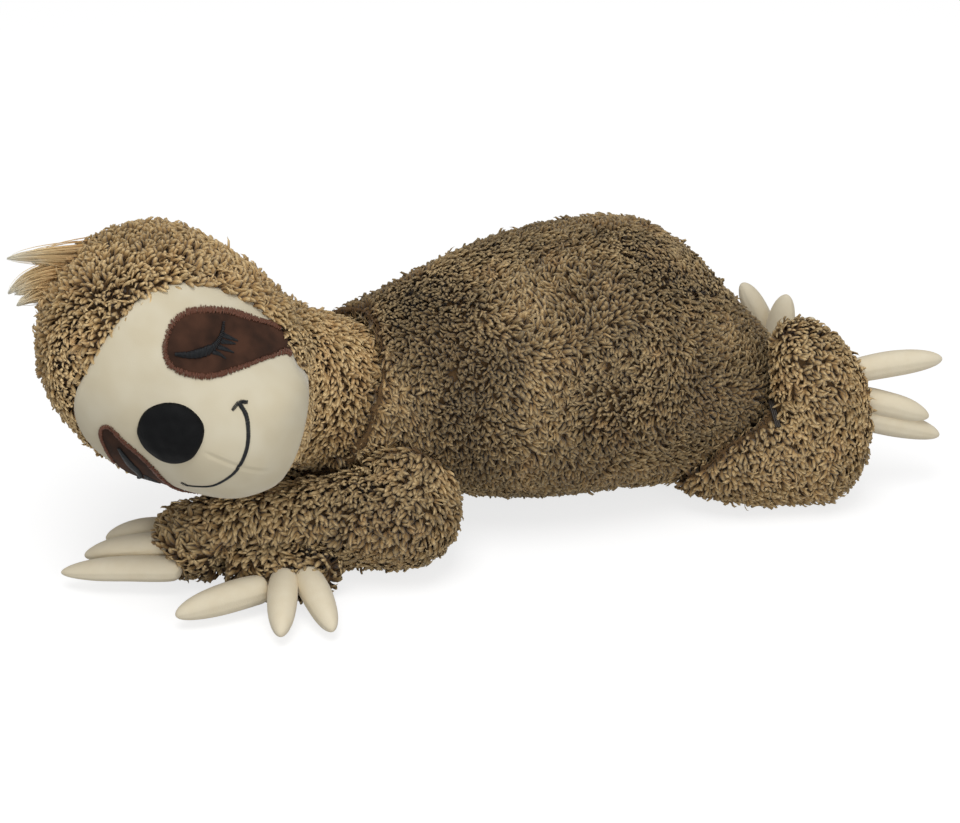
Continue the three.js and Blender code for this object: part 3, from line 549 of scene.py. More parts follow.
# Pushes of a skin, in mm: place, reach, and step.
LUMPS = {
    "torso": (
        ((8.0, -20.0, 17.0), 28.0, (0.0, 1.0, 1.2)),
        ((36.0, -22.0, 15.0), 28.0, (0.0, 1.0, 1.2)),
        ((70.0, -19.0, 12.0), 24.0, (0.0, 0.8, 0.9)),
        ((100.0, -22.0, 15.0), 14.0, (0.0, -1.4, -1.4)),
        ((104.0, 41.0, 131.0), 24.0, (0.6, 0.6, 1.9)),
        ((131.0, 31.0, 110.0), 18.0, (-0.9, -0.1, -0.8)),
        ((150.0, 22.0, 91.0), 20.0, (-2.8, -0.3, -2.2)),
        ((3.0, 49.0, 126.0), 24.0, (0.3, -0.6, -0.9)),
        ((-25.0, 46.0, 117.0), 22.0, (0.3, -0.6, -0.9)),
    ),
    "head": (
        ((-137.0, 17.0, 168.0), 22.0, (-1.4, -0.2, -1.2)),
        ((-116.0, 7.0, 155.0), 24.0, (-2.7, -0.4, -2.2)),
        ((-96.0, 12.0, 130.0), 20.0, (-2.3, -0.3, -1.9)),
        ((-108.0, -44.0, 130.0), 14.0, (2.6, -0.9, 1.4)),
        ((-80.0, 19.0, 117.0), 18.0, (-0.9, -0.3, -1.2)),
        ((-161.0, 24.0, 172.0), 20.0, (0.1, 0.7, 1.6)),
        ((-226.0, 0.0, 133.0), 22.0, (3.0, 0.0, 0.4)),
        ((-224.0, -19.0, 107.0), 20.0, (3.0, 0.0, 1.3)),
        ((-214.0, -25.0, 91.0), 18.0, (2.4, 0.2, 1.9)),
        ((-192.0, -34.0, 79.0), 15.0, (0.7, 0.9, 1.4)),
    ),
    "left_arm": (
        ((-35.0, -63.0, 17.0), 16.0, (-2.0, 1.5, 1.3)),
        ((-46.0, -64.0, 9.0), 20.0, (-0.5, 2.2, 1.3)),
        ((-64.0, -61.0, 7.0), 20.0, (0.1, 2.0, 1.1)),
        ((-86.0, -65.0, 17.0), 13.0, (0.0, 1.8, 3.2)),
        ((-85.0, -57.0, 7.0), 18.0, (0.1, 4.0, 2.2)),
        ((-165.0, -38.0, 6.0), 16.0, (0.2, 2.4, 1.8)),
        ((-150.0, -40.0, 4.0), 14.0, (0.0, 2.0, 1.6)),
        ((-145.0, -36.0, 6.0), 12.0, (4.5, -5.0, 0.0)),
    ),
    "right_arm": (
        ((-138.0, -52.0, 20.0), 11.0, (-4.5, 3.6, 5.0)),
        ((-140.0, -56.0, 10.0), 9.0, (-3.5, 0.0, -1.0)),
        ((-104.0, -63.0, 18.0), 9.0, (2.6, -3.0, 1.0)),
    ),
    "left_leg": (
        ((158.0, -36.0, 94.0), 24.0, (-4.0, 0.0, 8.0)),
        ((197.0, -36.0, 92.0), 18.0, (-5.0, 0.0, -4.0)),
        ((179.0, -34.0, 94.0), 18.0, (-1.6, -0.4, -1.4)),
        ((198.0, -54.0, 25.0), 18.0, (-3.8, 1.2, 0.9)),
        ((180.0, -52.0, 10.0), 14.0, (0.0, -1.2, -0.4)),
        ((155.0, -45.0, 7.0), 24.0, (0.0, -2.8, -0.8)),
        ((110.0, -36.0, 12.0), 14.0, (-7.5, -1.0, -0.6)),
        ((120.0, -38.0, 6.0), 15.0, (0.0, 2.0, 3.4)),
        ((107.0, -34.0, 11.0), 11.0, (0.0, 1.4, 2.8)),
    ),
}


def lumped(mesh, lumps):
    """Pushes a skin out or in round some places."""
    points, _, _ = arrays_of(mesh)
    points = points.astype(float)
    for place, reach, step in lumps:
        away = np.linalg.norm(points - np.array(place) * MM, axis=1) / (reach * MM)
        points += np.exp(-(away**2))[:, None] * np.array(step) * MM
    mesh.vertices.foreach_set("co", points.astype(np.float32).ravel())
    mesh.update()


skins = {}
for name, (members, _) in SKINS.items():
    skins[name] = stuffed_skin(f"{name}_skin", members + SHAPE_HELPERS.get(name, []))
    lumped(skins[name], LUMPS.get(name, ()))
trees = {name: cad_tree(members) for name, (members, _) in SKINS.items()}

# Head frame, in the sloth's own directions: nose, left and crown. The skull is a ball that
# blends into the muzzle, and the face panel lies on it.

HEAD_YAW_DEG = -105
HEAD_NOD_DEG = 1.2
HEAD_ROLL_DEG = 61.7
NECK_LENGTH = 105.7
NECK_DIRECTION = (-0.861, -0.208, 0.4635)
SKULL_RADIUS = 70.5
SKULL_HALF_WIDTH = 62.5
MUZZLE_RADIUS = 50
MUZZLE_PLACE = np.array([28.0, 0.0, -31.0])
MUZZLE_BLEND = 10
SKULL_GUESS = 40.0
SKULL_ROUNDS = 24
TILT_STEP = 0.5

joint_place = {joint["name"]: np.array(joint["pos_m"]) for joint in frame["joints"]}
neck_direction = np.array(NECK_DIRECTION) / np.linalg.norm(NECK_DIRECTION)
head_centre = joint_place["neck_hinge"] + neck_direction * NECK_LENGTH * MM
head_turn = np.array(
    Matrix.Rotation(math.radians(HEAD_YAW_DEG), 3, "Z")
    @ Matrix.Rotation(math.radians(HEAD_NOD_DEG), 3, "Y")
    @ Matrix.Rotation(math.radians(HEAD_ROLL_DEG), 3, "X")
)


def to_world(local_mm):
    """World places, in metres, of places in the head, in mm."""
    return np.asarray(local_mm) @ head_turn.T * MM + head_centre


def to_head(world):
    """Places in the head, in mm, of world places."""
    return (np.asarray(world) - head_centre) @ head_turn / MM


def head_reach(directions):
    """How far the skull and muzzle reach from the head's middle in some directions."""
    along = directions @ MUZZLE_PLACE
    inside = MUZZLE_RADIUS**2 - MUZZLE_PLACE @ MUZZLE_PLACE
    muzzle = along + np.sqrt(along**2 + inside)
    blend = np.maximum(0, 1 - np.abs(muzzle - SKULL_RADIUS) / MUZZLE_BLEND)
    return np.maximum(SKULL_RADIUS, muzzle) + MUZZLE_BLEND * blend**2 / 4


def on_skull(left, up):
    """The point of the skull in front of a place given to the left and toward the crown."""
    wide = left * SKULL_RADIUS / SKULL_HALF_WIDTH
    forward = np.full(np.shape(left), SKULL_GUESS)
    for _ in range(SKULL_ROUNDS):
        spot = np.stack([forward, wide, up], axis=-1)
        reach = head_reach(unit(spot))
        forward = 0.5 * forward + 0.5 * np.sqrt(np.maximum(reach**2 - wide**2 - up**2, 1.0))
    return np.stack([forward, left, up], axis=-1)


def on_face(left, up, lift):
    """A point raised by a height from the skull, straight out from its surface."""
    spot = on_skull(left, up)
    left_way = on_skull(left + TILT_STEP, up) - on_skull(left - TILT_STEP, up)
    crown_way = on_skull(left, up + TILT_STEP) - on_skull(left, up - TILT_STEP)
    outward = unit(np.cross(left_way, crown_way))
    outward *= np.sign(outward[..., :1] + 1e-9)
    return spot + outward * lift[..., None]


# Face panel: cream velboa, a knitted cloth with a short brushed nap, with one dart sewn from
# the nose to the chin. Its edge is sewn into the hood under the pile.

FACE_EDGE_POINTS = 220
FACE_GRID = 1.0
FACE_RECESS = 2.2
FACE_PUFF = 1.3
FACE_SEAM_DEPTH = 1.8
FACE_TUCK = 1.003
CHEEK_PLACE = (39.0, -54.0)
CHEEK_REACH = 14.0
CHEEK_RISE = 4.5
SEAM_START = 0.965
STUFFING_DEPTH = 3.6
HOOD_STEP = 12.0
HOOD_SLOPE = 0.22
HOOD_EASING = 6
FACE_MIDDLE = (0.0, -16.0)
FACE_EDGE = (
    (0.0, 42.0), (13.0, 41.8), (25.5, 39.8), (37.5, 36.2), (47.0, 30.0), (53.8, 20.6),
    (57.8, 10.2), (59.2, -1.0), (59.0, -13.0), (57.0, -23.7), (53.4, -33.8), (48.9, -41.6),
    (45.0, -46.2), (40.5, -52.2), (37.3, -58.2), (33.3, -64.0), (27.6, -68.0), (19.0, -71.0),
    (9.0, -72.5), (0.0, -72.8), (-9.0, -72.5), (-19.0, -71.0), (-27.6, -68.0), (-33.0, -64.0),
    (-37.8, -57.0), (-43.4, -49.3), (-48.3, -41.0), (-52.3, -33.0), (-54.5, -20.0),
    (-51.5, -8.0), (-47.5, 3.0), (-43.5, 13.0), (-39.5, 21.0), (-34.0, 29.3), (-25.0, 36.8),
    (-13.0, 41.3),
)
DART_TOP = -24.0
DART_LOW = -60.0
DART_DEPTH = 0.75
DART_WIDTH = 0.8
DART_EASE = 4
DART_SWELL = 0.5
DART_SWELL_WIDTH = 6
# Height, size and seed of the slight waves in the cloth.
FACE_WAVES = ((0.22, 13, 5), (0.32, 26, 6))
FACE_FRONT = 6
FACE_CLOTH_THICKNESS = 1.2 * MM


def smooth_between(p0, p1, p2, p3, t):
    """A place on the smooth curve from the second of four points to the third."""
    return 0.5 * (
        2 * p1 + (p2 - p0) * t + (2 * p0 - 5 * p1 + 4 * p2 - p3) * t**2
        + (3 * p1 - p0 - 3 * p2 + p3) * t**3
    )


def closed_curve(points, count):
    """Even steps of a smooth closed curve through some points."""
    points = np.asarray(points, float)
    total = len(points)
    share = np.linspace(0, total, count * 4, endpoint=False)
    index = share.astype(int)
    t = (share - index)[:, None]
    line = smooth_between(*(points[(index + k) % total] for k in (-1, 0, 1, 2)), t)
    return even_steps(np.vstack([line, line[:1]]), count + 1)[:-1]


def even_steps(line, count):
    """A line resampled to a number of points at even distances."""
    line = np.asarray(line, float)
    gone = np.concatenate([[0], np.cumsum(np.linalg.norm(np.diff(line, axis=0), axis=1))])
    goal = np.linspace(0, gone[-1], count)
    return np.stack([np.interp(goal, gone, line[:, i]) for i in range(line.shape[1])], axis=1)


def cut_cloth(name, outline, grid, place_of):
    """A sheet cut to a closed outline on the face, in small triangles."""
    low, high = outline.min(0), outline.max(0)
    across = np.arange(low[0], high[0], grid)
    upward = np.arange(low[1], high[1], grid)
    inner = np.stack(np.meshgrid(across, upward), axis=-1).reshape(-1, 2)
    inner = inner[edge_distance(inner, outline) > 0.5 * grid]
    corners = list(range(len(outline)))
    flat = [Vector(place) for place in np.vstack([outline, inner])]
    flat, _, faces, *_ = delaunay_2d_cdt(flat, [], [corners], 1, 1e-4)
    return mesh_of(name, place_of(np.array(flat)), np.array(faces))


def edge_distance(flat, outline):
    """Distance from places on the face to the nearest part of an outline."""
    start = outline
    way = np.roll(outline, -1, axis=0) - outline
    share = ((flat[:, None] - start) * way).sum(-1) / np.maximum((way * way).sum(-1), 1e-9)
    near = start + np.clip(share, 0, 1)[..., None] * way
    return np.linalg.norm(flat[:, None] - near, axis=-1).min(1)


def sheet_backed(piece, thickness):
    """Gives a sheet of cloth its thickness, behind its face."""
    back = piece.modifiers.new("cloth_thickness", "SOLIDIFY")
    back.thickness = thickness
    back.offset = -1.0
    return with_modifiers_applied(piece)


def outward_facing(mesh, inside):
    """Turns a sheet so that its faces look away from a point."""
    points, normals, _ = arrays_of(mesh)
    if ((points - inside) * normals).sum() < 0:
        mesh.flip_normals()
    return mesh


face_edge = closed_curve(FACE_EDGE, FACE_EDGE_POINTS)
face_middle = np.array(FACE_MIDDLE)


def face_share(flat):
    """How far a place is from the face's middle, as a share of the way to the panel's edge."""
    step = flat - face_middle
    edge_step = face_edge - face_middle
    bearing = np.arctan2(edge_step[:, 1], edge_step[:, 0])
    order = np.argsort(bearing)
    reach = np.interp(
        np.arctan2(step[:, 1], step[:, 0]), bearing[order],
        np.linalg.norm(edge_step, axis=1)[order], period=2 * math.pi,
    )
    return np.linalg.norm(step, axis=1) / reach


def skull_scale(local):
    """What a place in the head is stretched by to lie on the skull."""
    wide = local * (1, SKULL_RADIUS / SKULL_HALF_WIDTH, 1)
    return head_reach(unit(wide)) / np.linalg.norm(wide, axis=1)


def head_share(local):
    """The face share of a place on the head's skin."""
    return face_share((local * skull_scale(local)[:, None])[:, 1:])


def cheek(flat):
    """Height of the stuffing that fills the left cheek."""
    away = np.linalg.norm(flat - np.array(CHEEK_PLACE), axis=1) / CHEEK_REACH
    return CHEEK_RISE * np.exp(-(away**2))


def cloth_height(flat):
    """Height of the face cloth above the skull, with its puff, dart and slight ripples."""
    share = face_share(flat)
    left, up = flat[:, 0], flat[:, 1]
    height = cheek(flat) - FACE_RECESS + FACE_PUFF * (1 - np.clip(share, 0, 1) ** 3)
    height -= FACE_SEAM_DEPTH * np.clip((share - SEAM_START) / (1 - SEAM_START), 0, 1.5) ** 2
    in_dart = np.clip((DART_TOP - up) / DART_EASE, 0, 1)
    in_dart *= np.clip((up - DART_LOW) / DART_EASE, 0, 1)
    height -= DART_DEPTH * in_dart * np.exp(-((left / DART_WIDTH) ** 2))
    height += DART_SWELL * in_dart * np.exp(-((left / DART_SWELL_WIDTH) ** 2))
    spots = np.stack([left, up, 0 * up], axis=1)
    return height + sum(high * slow_noise(spots, size, seed) for high, size, seed in FACE_WAVES)


def face_place(flat, lift=0.0):
    """The world place of points of the face, raised from its cloth."""
    return to_world(on_face(flat[:, 0], flat[:, 1], cloth_height(flat) + lift))


def set_under_face(mesh):
    """Presses the head's skin in where the face cloth lies over it."""
    points, _, _ = arrays_of(mesh)
    local = to_head(points)
    beyond = np.clip((head_share(local) - 1) / HOOD_SLOPE, 0, 1)
    scale = skull_scale(local)
    rise = cheek((local * scale[:, None])[:, 1:])
    room = (STUFFING_DEPTH - rise - HOOD_STEP * beyond) / SKULL_RADIUS
    pressed = np.where(local[:, 0] > FACE_FRONT, np.minimum(1, scale * (1 - room)), 1)
    mesh.vertices.foreach_set(
        "co", to_world(local * pressed[:, None]).astype(np.float32).ravel()
    )
    eased = bmesh.new()
    eased.from_mesh(mesh)
    for _ in range(HOOD_EASING):
        bmesh.ops.smooth_vert(
            eased, verts=eased.verts, factor=SMOOTHING_STEP, use_axis_x=True, use_axis_y=True,
            use_axis_z=True,
        )
    eased.to_mesh(mesh)
    eased.free()
    mesh.update()


set_under_face(skins["head"])

# Cream velboa: polyester cut to a nap of about a millimetre and brushed one way, so it is matt,
# with a soft sheen where it curves away and faint lighter tracks where the nap is turned. Its
# hairs are too fine to show, and the nap is drawn coarser.
VELBOA_SHADES = ("#d3c8ad", "#d9d0b8")
VELBOA_NAP_SIZE = 0.7 * MM
VELBOA_NAP_STRENGTH = 0.15
VELBOA_TRACK_SIZE = 16 * MM
NAP_HEIGHT = 0.4 * MM
VELBOA_FINISH = {
    "Roughness": 0.9, "Specular IOR Level": 0.2, "Sheen Weight": 0.25, "Sheen Roughness": 0.4,
}

velboa, velboa_tree, velboa_shader, velboa_spot = new_material("cream_velboa", VELBOA_FINISH)
nap = add_node(
    velboa_tree, "ShaderNodeTexNoise", {},
    {"Vector": velboa_spot, "Scale": 1 / VELBOA_NAP_SIZE, "Detail": 4.0},
)
tracks = add_node(
    velboa_tree, "ShaderNodeTexNoise", {},
    {"Vector": velboa_spot, "Scale": 1 / VELBOA_TRACK_SIZE, "Detail": 1.5},
)
track_share = add_node(
    velboa_tree, "ShaderNodeMapRange", {},
    {"Value": tracks.outputs[0], "From Min": 0.35, "From Max": 0.65},
)
cream = add_node(
    velboa_tree, "ShaderNodeMix", {"data_type": "RGBA"},
    {0: track_share.outputs[0], 6: colour(VELBOA_SHADES[0]), 7: colour(VELBOA_SHADES[1])},
)
nap_bump = add_node(
    velboa_tree, "ShaderNodeBump", {},
    {"Height": nap.outputs[0], "Strength": VELBOA_NAP_STRENGTH, "Distance": NAP_HEIGHT},
)
velboa_tree.links.new(cream.outputs[2], velboa_shader.inputs["Base Color"])
velboa_tree.links.new(nap_bump.outputs[0], velboa_shader.inputs["Normal"])

face_mesh = cut_cloth(
    "face_cloth", face_middle + (face_edge - face_middle) * FACE_TUCK, FACE_GRID, face_place
)
face_cloth = new_piece(
    "face_cloth", outward_facing(face_mesh, head_centre), velboa, "head"
)
sheet_backed(face_cloth, FACE_CLOTH_THICKNESS)
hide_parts("face_panel")

# Nose: a padded, slightly uneven oval of black velvet, sewn down over a little stuffing.

NOSE_EDGE = (
    (-7.8, 7.8), (0.0, 9.1), (6.4, 7.2), (11.9, 2.3), (15.1, -4.3), (15.5, -10.8), (13.4, -17.0),
    (9.6, -20.2), (3.1, -21.8), (-6.7, -21.3), (-13.8, -17.0), (-17.2, -11.6), (-17.6, -5.6),
    (-15.8, 0.4), (-11.9, 5.2),
)
NOSE_EDGE_POINTS = 110
NOSE_GRID = 0.7
NOSE_RISE = 4.4
NOSE_SHOULDER = 8.0
NOSE_SEAM_DEPTH = 0.4
# Height, size and seed of the dents in its stuffing.
NOSE_DENTS = ((0.45, 6, 11), (0.24, 2.6, 12))
NOSE_CLOTH_THICKNESS = 0.8 * MM
# Black velvet: a dense upright nap that takes in nearly all light, so it has no shine of its own.
# Its soft patches of lighter grey are a painted sheen, for the faint light on its wrinkles. The nap
# is drawn coarser than its hairs.
VELVET_BLACK_AND_PAINTED_SHEEN = ("#050506", "#151617")
VELVET_NAP_SIZE = 0.6 * MM
VELVET_NAP_STRENGTH = 0.5
VELVET_SHEEN_PATCH_SIZE = 5 * MM

nose_edge = closed_curve(NOSE_EDGE, NOSE_EDGE_POINTS)


def nose_place(flat):
    """Places on the nose's cloth: a low dome over its stuffing, with a few dents."""
    inward = np.clip(edge_distance(flat, nose_edge) / NOSE_SHOULDER, 0, 1)
    spots = np.stack([flat[:, 0], flat[:, 1], 0 * inward], axis=1)
    dome = NOSE_RISE * np.sqrt(1 - (1 - inward) ** 2) - NOSE_SEAM_DEPTH
    dents = sum(high * slow_noise(spots, size, seed) for high, size, seed in NOSE_DENTS)
    return face_place(flat, dome + inward * dents)


velvet, velvet_tree, velvet_shader, velvet_spot = new_material(
    "black_velvet", {"Roughness": 0.6, "Specular IOR Level": 0.08}
)
velvet_nap = add_node(
    velvet_tree, "ShaderNodeTexNoise", {},
    {"Vector": velvet_spot, "Scale": 1 / VELVET_NAP_SIZE, "Detail": 4.0},
)
# Painted sheen: soft patches of lighter grey over the black, for the light on the nose's wrinkles.
painted_velvet_sheen = add_node(
    velvet_tree, "ShaderNodeTexNoise", {},
    {"Vector": velvet_spot, "Scale": 1 / VELVET_SHEEN_PATCH_SIZE, "Detail": 2.0},
)
velvet_bump = add_node(
    velvet_tree, "ShaderNodeBump", {},
    {"Height": velvet_nap.outputs[0], "Strength": VELVET_NAP_STRENGTH, "Distance": NAP_HEIGHT},
)
velvet_colour = add_node(
    velvet_tree, "ShaderNodeMix", {"data_type": "RGBA"},
    {0: painted_velvet_sheen.outputs[0], 6: colour(VELVET_BLACK_AND_PAINTED_SHEEN[0]), 7: colour(VELVET_BLACK_AND_PAINTED_SHEEN[1])},
)
velvet_tree.links.new(velvet_colour.outputs[2], velvet_shader.inputs["Base Color"])
velvet_tree.links.new(velvet_bump.outputs[0], velvet_shader.inputs["Normal"])

nose_mesh = cut_cloth("nose_pad", nose_edge, NOSE_GRID, nose_place)
nose_pad = new_piece(
    "nose_pad", outward_facing(nose_mesh, head_centre), velvet, "head"
)
sheet_backed(nose_pad, NOSE_CLOTH_THICKNESS)
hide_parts("nose")

# Eye patches: brown velboa cut to shape, laid on the face and edged with a dense row of satin
# stitches. The tail of each patch runs into the seam of the face.

PATCH_EDGES = {
    "left": (
        (36.6, 13.9), (42.8, 13.9), (48.5, 9.1), (51.9, 0.8), (53.9, -9.5), (53.6, -19.7),
        (52.0, -30.8), (50.0, -37.5), (47.4, -44.0), (44.4, -49.0), (41.6, -53.4), (40.8, -52.6),
        (42.8, -48.0), (44.3, -43.0), (43.8, -38.0), (42.4, -32.2), (38.1, -23.1),
        (32.8, -14.6), (29.7, -8.2), (27.7, -0.1), (28.0, 7.3), (31.8, 12.2),
    ),
    "right": (
        (-15.9, 20.4), (-19.4, 21.9), (-24.9, 19.8), (-30.3, 15.4), (-38.0, 9.0), (-46.0, 2.0),
        (-51.0, -8.0), (-53.0, -20.0), (-51.0, -32.0), (-47.0, -42.0), (-43.0, -50.0),
        (-40.0, -49.0), (-42.0, -41.0), (-41.6, -33.0), (-38.0, -25.6), (-34.1, -18.5),
        (-27.5, -8.9), (-22.9, 0.0), (-18.8, 11.0), (-15.9, 16.9),
    ),
}
PATCH_LIFT = 0.8
PATCH_ROUNDING = 1.2
PATCH_EDGE_DEPTH = 0.15
PATCH_TUCK = 1.012
PATCH_FREE_SHARE = 0.985
PATCH_EDGE_POINTS = 170
PATCH_GRID = 0.9
PATCH_THICKNESS = 0.6 * MM
# Brown velboa: the face's cloth in another dye, its nap brushed both ways, so it is matt and
# cloudy, light where the nap leans away. The nap is drawn coarser than its hairs.
PATCH_SHADES = ("#291a12", "#4a3023")
PATCH_NAP_SIZE = 0.8 * MM
PATCH_NAP_STRENGTH = 0.5
PATCH_CLOUD_SIZE = 13 * MM

patch_cloth, patch_tree, patch_shader, patch_spot = new_material(
    "brown_velboa", {"Roughness": 0.88, "Specular IOR Level": 0.2}
)
patch_nap = add_node(
    patch_tree, "ShaderNodeTexNoise", {},
    {"Vector": patch_spot, "Scale": 1 / PATCH_NAP_SIZE, "Detail": 4.0},
)
patch_clouds = add_node(
    patch_tree, "ShaderNodeTexNoise", {},
    {"Vector": patch_spot, "Scale": 1 / PATCH_CLOUD_SIZE, "Detail": 2.0},
)
patch_share = add_node(
    patch_tree, "ShaderNodeMapRange", {},
    {"Value": patch_clouds.outputs[0], "From Min": 0.36, "From Max": 0.66},
)
patch_colour = add_node(
    patch_tree, "ShaderNodeMix", {"data_type": "RGBA"},
    {0: patch_share.outputs[0], 6: colour(PATCH_SHADES[0]), 7: colour(PATCH_SHADES[1])},
)
patch_bump = add_node(
    patch_tree, "ShaderNodeBump", {},
    {"Height": patch_nap.outputs[0], "Strength": PATCH_NAP_STRENGTH, "Distance": NAP_HEIGHT},
)
patch_tree.links.new(patch_colour.outputs[2], patch_shader.inputs["Base Color"])
patch_tree.links.new(patch_bump.outputs[0], patch_shader.inputs["Normal"])

# Twisted rayon embroidery thread: smooth filaments. The short streaks of light along their turns
# are painted: each thread changes between a darker and a lighter shade, painted shade and painted
# highlights. Half a millimetre is a little coarser than the real twist, so that it shows.
TWIST_HIGHLIGHT_SIZE = 0.5 * MM
THREAD_FINISH = {"Roughness": 0.42, "Specular IOR Level": 0.28}
# Each thread's darker and lighter shade: painted shade and painted highlight along its turns.
BORDER_THREAD_DARK_AND_LIT = ("#4e2d20", "#7c503c")
BLACK_THREAD_DARK_AND_LIT = ("#0a0b0d", "#1b1e22")


def thread_material(name, dark_and_lit):
    """A thread painted darker and lighter along its turns: painted shade and painted highlights of
    its twist.
    """
    made, tree, shader, spot = new_material(name, THREAD_FINISH)
    painted_twist_highlights = add_node(
        tree, "ShaderNodeTexNoise", {}, {"Vector": spot, "Scale": 1 / TWIST_HIGHLIGHT_SIZE, "Detail": 2.0}
    )
    mixed = add_node(
        tree, "ShaderNodeMix", {"data_type": "RGBA"},
        {0: painted_twist_highlights.outputs[0], 6: colour(dark_and_lit[0]), 7: colour(dark_and_lit[1])},
    )
    tree.links.new(mixed.outputs[2], shader.inputs["Base Color"])
    return made


border_thread = thread_material("reddish_brown_thread", BORDER_THREAD_DARK_AND_LIT)
black_thread = thread_material("black_thread", BLACK_THREAD_DARK_AND_LIT)

# Satin stitches: threads laid side by side across a line, each a low arch that dips into the
# cloth at both ends, where the needle went through.
THREAD_RADIUS = 0.3 * MM
THREAD_SIDES = 5
THREAD_END_SHARE = 0.7
STITCH_PITCH = 0.56
STITCH_SLANT = 0.12
STITCH_SLANT_SPREAD = 1.5
# Stations across a stitch: shares of its half width and of its hump.
STITCH_ARCH = ((-1.0, -0.15), (-0.72, 0.7), (0.0, 1.0), (0.72, 0.7), (1.0, -0.15))
BORDER_WIDTHS = (1.0, 1.3, 1.8, 2.3, 2.5, 2.5, 2.5, 2.3, 1.8, 1.3, 1.0)
BORDER_LIFT = 0.35
BORDER_HUMP = 0.7
BORDER_UNEVEN = 0.2
BLACK_UNEVEN = 0.05


def tube_arrays(paths, radii, sides):
    """Points and faces of many round threads, given as paths of points and radii along them."""
    threads, steps, _ = paths.shape
    ahead = unit(np.gradient(paths, axis=1))
    guess = np.where(np.abs(ahead[..., 2:]) < 0.9, [[[0.0, 0.0, 1.0]]], [[[1.0, 0.0, 0.0]]])
    across = unit(np.cross(ahead, guess))
    above = np.cross(ahead, across)
    turn = np.linspace(0, 2 * math.pi, sides, endpoint=False)
    ring = (
        across[:, :, None] * np.cos(turn)[None, None, :, None]
        + above[:, :, None] * np.sin(turn)[None, None, :, None]
    )
    points = paths[:, :, None] + ring * radii[:, :, None, None]
    faces = []
    for step in range(steps - 1):
        for side in range(sides):
            a, b = step * sides + side, step * sides + (side + 1) % sides
            faces += [(a, b, b + sides), (a, b + sides, a + sides)]
    for side in range(1, sides - 1):
        end = (steps - 1) * sides
        faces += [(0, side + 1, side), (end, end + side, end + side + 1)]
    faces = np.array(faces)
    each = steps * sides
    all_faces = (faces[None] + (np.arange(threads) * each)[:, None, None]).reshape(-1, 3)
    return points.reshape(-1, 3), all_faces


def satin_stitches(name, line, widths, lift, hump, uneven, thread):
    """A row of stitches across a line on the face, side by side, humped over its middle."""
    length = np.linalg.norm(np.diff(line, axis=0), axis=1).sum()
    count = max(3, int(length / STITCH_PITCH))
    spots = even_steps(line, count)
    widths = np.interp(np.linspace(0, 1, count), np.linspace(0, 1, len(widths)), widths)
    widths = widths * (1 + uneven * random.normal(0, 1, count))
    along = unit(np.gradient(spots, axis=0))
    across = np.stack([-along[:, 1], along[:, 0]], axis=1)
    slant = STITCH_SLANT + STITCH_SLANT_SPREAD * uneven * random.normal(0, 1, (count, 1))
    paths = []
    for part, rise in STITCH_ARCH:
        flat = spots + (across + slant * along * part) * (0.5 * part * widths)[:, None]
        proud = hump * (1 + uneven * random.normal(0, 1, count))
        paths.append(face_place(flat, lift + rise * proud))
    paths = np.stack(paths, axis=1)
    radii = np.full(paths.shape[:2], THREAD_RADIUS)
    radii[:, [0, -1]] *= THREAD_END_SHARE
    mesh = mesh_of(name, *tube_arrays(paths, radii, THREAD_SIDES))
    return new_piece(name, mesh, thread, "head")


def patch_place(outline):
    """Where a patch's cloth lies: raised from the face, and rounded down at its edge."""
    def place(flat):
        inward = np.clip(edge_distance(flat, outline) / PATCH_ROUNDING, 0, 1)
        return face_place(flat, PATCH_LIFT * np.sqrt(inward) - PATCH_EDGE_DEPTH)

    return place


for name, points in PATCH_EDGES.items():
    outline = closed_curve(points, PATCH_EDGE_POINTS)
    beyond = face_share(outline)
    is_free = beyond < PATCH_FREE_SHARE
    outline = face_middle + (outline - face_middle) * np.minimum(1, PATCH_TUCK / beyond)[:, None]
    patch_mesh = cut_cloth(f"{name}_eye_patch_cloth", outline, PATCH_GRID, patch_place(outline))
    patch_piece = new_piece(
        f"{name}_eye_patch_cloth", outward_facing(patch_mesh, head_centre), patch_cloth, "head",
    )
    sheet_backed(patch_piece, PATCH_THICKNESS)
    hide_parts(f"{name}_eye_patch")
    first = int(np.argmax(is_free & ~np.roll(is_free, 1)))
    free_line = np.roll(outline, -first, axis=0)[: int(is_free.sum())]
    satin_stitches(
        f"{name}_patch_border", free_line, BORDER_WIDTHS, BORDER_LIFT, BORDER_HUMP,
        BORDER_UNEVEN, border_thread,
    )

# Closed eyelids: a crescent of black satin stitches, thick in its middle, with four lashes.

LID_LINES = {
    "left": (
        (32.9, 7.4), (34.9, 1.4), (37.8, -4.2), (41.1, -8.4), (44.1, -9.8), (47.4, -10.0),
        (50.1, -9.0),
    ),
    "right": (
        (-24.6, 10.0), (-27.6, 6.8), (-33.6, 0.4), (-38.2, -5.4), (-43.0, -8.6), (-47.6, -8.8),
    ),
}
LID_WIDTHS = (1.2, 2.2, 2.9, 3.6, 4.2, 4.0, 3.2, 2.4, 1.7, 1.0)
LASHES = (
    ((46.4, -10.6), (46.2, -14.6), (46.0, -18.9)),
    ((44.2, -11.4), (44.6, -14.8), (44.9, -18.1)),
    ((42.0, -10.8), (42.2, -14.6), (42.2, -18.7)),
    ((39.6, -9.2), (39.9, -12.6), (39.4, -15.9)),
)
LASH_WIDTHS = (2.0, 1.5, 1.1, 0.4)
LID_POINTS = 90
LASH_POINTS = 30
CURVE_STEPS = 24
LID_LIFT = 0.8
LID_HUMP = 0.8
LASH_LIFT = 0.52
LASH_HUMP = 0.4


